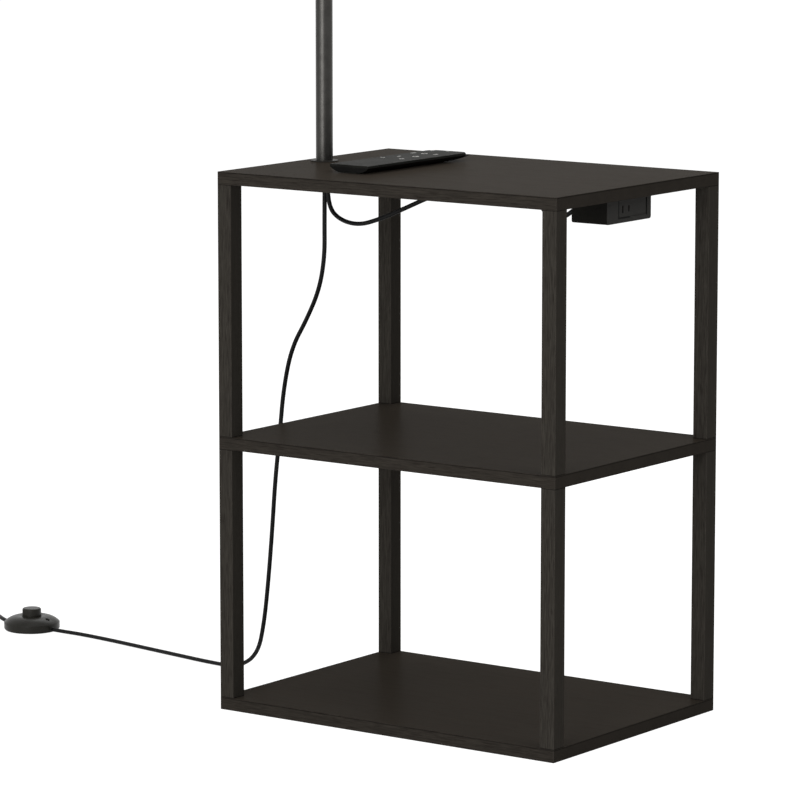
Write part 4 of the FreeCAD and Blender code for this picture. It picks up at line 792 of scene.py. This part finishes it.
def circle(tree, sides, radius):
    return node(tree, "GeometryNodeCurvePrimitiveCircle", {
        "Resolution": sides, "Radius": radius}).outputs[0]


def wire(tree, path, section, capped):
    return node(tree, "GeometryNodeCurveToMesh", {
        "Curve": path, "Profile Curve": section, "Fill Caps": capped}).outputs[0]


def share_of_row(tree, count):
    """Each point's number in its row, as a share of a count."""
    return calc(tree, "DIVIDE", node(tree, "GeometryNodeInputIndex").outputs[0], count)


def make_rib_tree():
    """Rings along X whose size goes evenly from a root radius to a tip radius."""
    tree, given = tree_of("tapering_ribs", [
        ("Ribs", "Int", 7), ("Spacing", "Float", 0.002), ("Root Radius", "Float", 0.0045),
        ("Tip Radius", "Float", 0.0035), ("Rib Radius", "Float", 0.0005)])
    offset = node(tree, "ShaderNodeCombineXYZ", {"X": given["Spacing"]}).outputs[0]
    places = node(tree, "GeometryNodeMeshLine", {"Count": given["Ribs"], "Offset": offset})
    ring, section = circle(tree, 28, given["Root Radius"]), circle(tree, 8, given["Rib Radius"])
    part = share_of_row(tree, calc(tree, "SUBTRACT", given["Ribs"], 1.0))
    tip_share = calc(tree, "DIVIDE", given["Tip Radius"], given["Root Radius"])
    size = calc(tree, "MULTIPLY_ADD", part, calc(tree, "SUBTRACT", tip_share, 1.0), 1.0)
    sizes = node(tree, "ShaderNodeCombineXYZ", {"X": size, "Y": size, "Z": 1.0}).outputs[0]
    ribs = node(tree, "GeometryNodeInstanceOnPoints", {
        "Points": places.outputs[0], "Instance": wire(tree, ring, section, False),
        "Rotation": (0.0, math.pi / 2, 0.0), "Scale": sizes})
    return end_tree(tree, given, ribs.outputs[0])


def make_thread_tree():
    """A screw thread's crest, winding up Z."""
    tree, given = tree_of("screw_thread", [
        ("Turns", "Float", 4.0), ("Height", "Float", 0.0045), ("Radius", "Float", 0.008),
        ("Crest", "Float", 0.0003)])
    helix = node(tree, "GeometryNodeCurveSpiral", {
        "Resolution": 32, "Rotations": given["Turns"], "Start Radius": given["Radius"],
        "End Radius": given["Radius"], "Height": given["Height"]}).outputs[0]
    return end_tree(tree, given, wire(tree, helix, circle(tree, 6, given["Crest"]), True))


def make_stitch_tree():
    """Short stitches round a circle, each one along it."""
    tree, given = tree_of("stitch_row", [
        ("Stitches", "Int", 170), ("Radius", "Float", 0.15),
        ("Stitch", "Vector", (0.0006, 0.0034, 0.0006))])
    places = node(tree, "GeometryNodeMeshCircle", {
        "Vertices": given["Stitches"], "Radius": given["Radius"]})
    stitch = node(tree, "GeometryNodeMeshCube", {"Size": given["Stitch"]})
    angle = times(tree, share_of_row(tree, given["Stitches"]), 2 * math.pi)
    turn = node(tree, "ShaderNodeCombineXYZ", {"Z": angle}).outputs[0]
    stitches = node(tree, "GeometryNodeInstanceOnPoints", {
        "Points": places.outputs[0], "Instance": stitch.outputs[0], "Rotation": turn})
    return end_tree(tree, given, stitches.outputs[0])


def grown(name, tree, sizes, slot, place):
    """The plain mesh that a tree makes with these sizes, as a piece of the lamp at a place."""
    holder = shown(bpy.data.objects.new("holder", bpy.data.meshes.new("holder")))
    modifier = holder.modifiers.new("shape", "NODES")
    modifier.node_group = tree
    values = {"Finish": finishes[slot], **sizes}
    for socket in tree.interface.items_tree:
        if socket.in_out == "INPUT" and socket.name in values:
            modifier[socket.identifier] = values[socket.name]
    ready = holder.evaluated_get(bpy.context.evaluated_depsgraph_get())
    mesh = bpy.data.meshes.new_from_object(ready)
    holder.modifiers.remove(modifier)
    bpy.data.objects.remove(holder)
    mesh.name = name
    mesh.transform(place)
    mesh.shade_smooth()
    return new_piece(name, mesh, slot)


BOX_RELIEF_AXIS = (0.1713, 0, 0.6135)
PLUG_RIBS_START = (0.004, 0, 0)             # from the lead's end, along it


def make_ribs(rib_tree):
    """The ribs of the two strain reliefs: on the outlet box's rear and on the plug."""
    backwards = Matrix.Translation(BOX_RELIEF_AXIS) @ Matrix.Rotation(math.pi, 4, "Z")
    grown("box_relief_ribs", rib_tree, {"Root Radius": 0.00436, "Tip Radius": 0.0034, "Ribs": 7},
          "clip_plastic", backwards)
    before, tip = coil_points()[-2:]
    outward = math.atan(COIL_PITCH / (2 * math.pi * coil_radius(COIL_REACH)))
    heading = math.atan2(tip[1] - before[1], tip[0] - before[0]) - outward
    onward = (Matrix.Translation(tip) @ Matrix.Rotation(heading, 4, "Z")
              @ Matrix.Translation(PLUG_RIBS_START))
    return grown("plug_relief_ribs", rib_tree, {
        "Root Radius": 0.00362, "Tip Radius": 0.00508, "Ribs": 8}, "plug_plastic", onward)


# ---------------------------------------------------------------- the foot switch and the leads


def make_spring():
    """The foot button's return spring, which on the real switch shortens as the button goes down:
    the model's mesh with its doubled vertices merged.
    """
    mesh = nodes["switch_spring"].data.copy()
    mesh.name = "return_spring"
    coils = bmesh.new()
    coils.from_mesh(mesh)
    bmesh.ops.remove_doubles(coils, verts=coils.verts, dist=0.000001)
    coils.to_mesh(mesh)
    coils.free()
    piece = new_piece("return_spring", mesh, "zinc_steel")
    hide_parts("switch_spring")
    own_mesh(piece)
    return piece


plug_ribs = make_ribs(make_rib_tree())
return_spring = make_spring()

# the direction across the camera's view, in which the hanging leads show their broad side
across = Vector((*moved((0, 0), math.radians(CAMERA_AZIMUTH), 1), 0))
lead("mains_lead", MAINS_ROUTE, [(0, across), (0.5, across), (0.72, Y), (1, Y)],
     ["mains_cord"])
lead("box_lead", BOX_ROUTE, [(0, across), (0.1, across), (0.3, Z), (1, Z)],
     ["box_cord"])
lead("plug_lead", PLUG_ROUTE + coil_points(), [(0, Y), (0.03, Y), (0.1, Z), (1, Z)],
     ["plug_cord", "cord_coil"])


# ---------------------------------------------------------------- marks on the remote

MARK_RISE, MARK_SINK = 0.00006, 0.00004
MARK_STAGGER = 0.000004     # so that the tops of two strokes that meet don't coincide
MARK_STROKE, MARK_RING = 0.0014, 0.9


def arc(first, last, step):
    """Points of a ring between two angles in degrees from its top."""
    return [(MARK_RING * math.sin(math.radians(angle)), MARK_RING * math.cos(math.radians(angle)))
            for angle in range(first, last + 1, step)]


SIGNS = {
    "1": [[(-0.3, 0.6), (0.1, 1), (0.1, -1)]],
    "2": [[(-0.5, 0.6), (-0.2, 1), (0.3, 1), (0.5, 0.6), (0.4, 0.2), (-0.5, -1), (0.5, -1)]],
    "3": [[(-0.5, 0.8), (0, 1), (0.5, 0.6), (0.1, 0.1), (0.5, -0.4), (0, -1), (-0.5, -0.8)]],
    "+": [[(-0.8, 0), (0.8, 0)], [(0, -0.8), (0, 0.8)]],
    "-": [[(-0.8, 0), (0.8, 0)]],
    "o": [arc(0, 360, 30)],
    "on": [arc(40, 320, 28), [(0, 0.2), (0, 1.1)]],
}
REMOTE_MARKS = [            # which sign, its place on the board in X and Y, half its height
    ("-", (-0.1222, -0.0033), 0.0034), ("+", (-0.0943, -0.0027), 0.0036),
    ("1", (-0.1146, 0.0197), 0.0030), ("on", (-0.0964, 0.0285), 0.0036),
    ("2", (-0.1243, 0.0629), 0.0030), ("o", (-0.1082, 0.0627), 0.0036),
    ("3", (-0.0916, 0.0629), 0.0030), ("-", (-0.1215, 0.0975), 0.0024),
    ("-", (-0.0993, 0.0990), 0.0024)]


def stroke_box(surface_level, first, second, rise):
    """Corners and faces of a thin flat bar on a surface whose height a function gives."""
    along = (second - first).normalized() * MARK_STROKE / 2
    side = Vector((-along.y, along.x))
    corners = [first - along - side, second + along - side, second + along + side,
               first - along + side]
    foot = [Vector((c.x, c.y, surface_level(c) - MARK_SINK)) for c in corners]
    head = [Vector((c.x, c.y, surface_level(c) + rise)) for c in corners]
    walls = [(k, (k + 1) % 4, 4 + (k + 1) % 4, 4 + k) for k in range(4)]
    return foot + head, [(3, 2, 1, 0), (4, 5, 6, 7)] + walls


def make_remote_marks():
    """Small printed signs on the keypad film: numbers, plus, minus and rings."""
    mesh = nodes["remote_overlay"].data
    film = BVHTree.FromPolygons([vertex.co.copy() for vertex in mesh.vertices],
                                [tuple(polygon.vertices) for polygon in mesh.polygons])
    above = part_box("remote_overlay")[1][2] + 0.01

    def film_level(place):
        return film.ray_cast(Vector((place.x, place.y, above)), -Z)[0].z

    vertices, faces = [], []
    for sign, place, size in REMOTE_MARKS:
        for line in SIGNS[sign]:
            points = [Vector(place) + Vector(point) * size for point in line]
            for order, (first, second) in enumerate(zip(points, points[1:])):
                rise = MARK_RISE + MARK_STAGGER * (order % 2)
                corners, sides = stroke_box(film_level, first, second, rise)
                faces += [tuple(len(vertices) + k for k in side) for side in sides]
                vertices += corners
    new_piece("remote_marks", mesh_of("remote_marks", vertices, faces), "remote_film",
              "remote", "print_white")


# ---------------------------------------------------------------- shade

POLE_X = -0.2108
SHADE_RADIUS, SHADE_FOOT, SHADE_HEIGHT = 0.15, 1.312, 0.22
SHADE_LAP, LAP_RISE = 0.012, 0.05           # the seam's width, and the angle in which it rises
SHADE_START = math.radians(118)             # where the seam is, from +X
CLOTH_THICKNESS, CLOTH_DEPTH = 0.0009, 1.05     # its depth inside the drum, in thicknesses
CLOTH_BELLY = 0.0006        # how far the cloth is drawn in at half height
CLOTH_STEPS, CLOTH_ROWS = 192, 12
STITCH_RADIUS, STITCH_INSET = 0.1508, 0.005
THREAD_FOOT = 0.6180


def make_shade_cloth():
    """The drum's linen, one sheet whose end laps over its start by a seam's width."""
    around = 2 * math.pi + SHADE_LAP / SHADE_RADIUS
    vertices, faces, places = [], [], []
    for step in range(CLOTH_STEPS + 1):
        angle = around * step / CLOTH_STEPS
        over = min(max((angle - 2 * math.pi) / LAP_RISE + 1, 0), 1)
        radius = SHADE_RADIUS - CLOTH_THICKNESS * (CLOTH_DEPTH - over)
        for row in range(CLOTH_ROWS + 1):
            height = row / CLOTH_ROWS
            drawn = radius - CLOTH_BELLY * math.sin(math.pi * height)
            vertices.append((*moved((POLE_X, 0), SHADE_START + angle, drawn),
                             SHADE_FOOT + SHADE_HEIGHT * height))
            places.append((angle * SHADE_RADIUS, SHADE_HEIGHT * height))
    for step in range(CLOTH_STEPS):
        for row in range(CLOTH_ROWS):
            low = step * (CLOTH_ROWS + 1) + row
            high = low + CLOTH_ROWS + 1
            faces.append((low, high, high + 1, low + 1))
    mesh = mesh_of("shade_linen", vertices, faces)
    map_surface(mesh, places)
    mesh.shade_smooth()
    piece = new_piece("shade_linen", mesh, "shade_cloth")
    wall = piece.modifiers.new("wall", "SOLIDIFY")
    wall.thickness, wall.offset = CLOTH_THICKNESS, -1
    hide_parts("shade_fabric")


def make_trim_stitches(stitch_tree):
    """A row of stitches along the middle of each of the drum's two trims."""
    for name, level in (("lower_trim_stitches", SHADE_FOOT + STITCH_INSET),
                        ("upper_trim_stitches", SHADE_FOOT + SHADE_HEIGHT - STITCH_INSET)):
        grown(name, stitch_tree, {"Radius": STITCH_RADIUS}, "trim_cloth",
              Matrix.Translation((POLE_X, 0, level)))


make_shade_cloth()
make_trim_stitches(make_stitch_tree())
grown("nipple_thread", make_thread_tree(), {}, "zinc_steel",
      Matrix.Translation((POLE_X, 0, THREAD_FOOT)))
make_remote_marks()
finish_nodes()
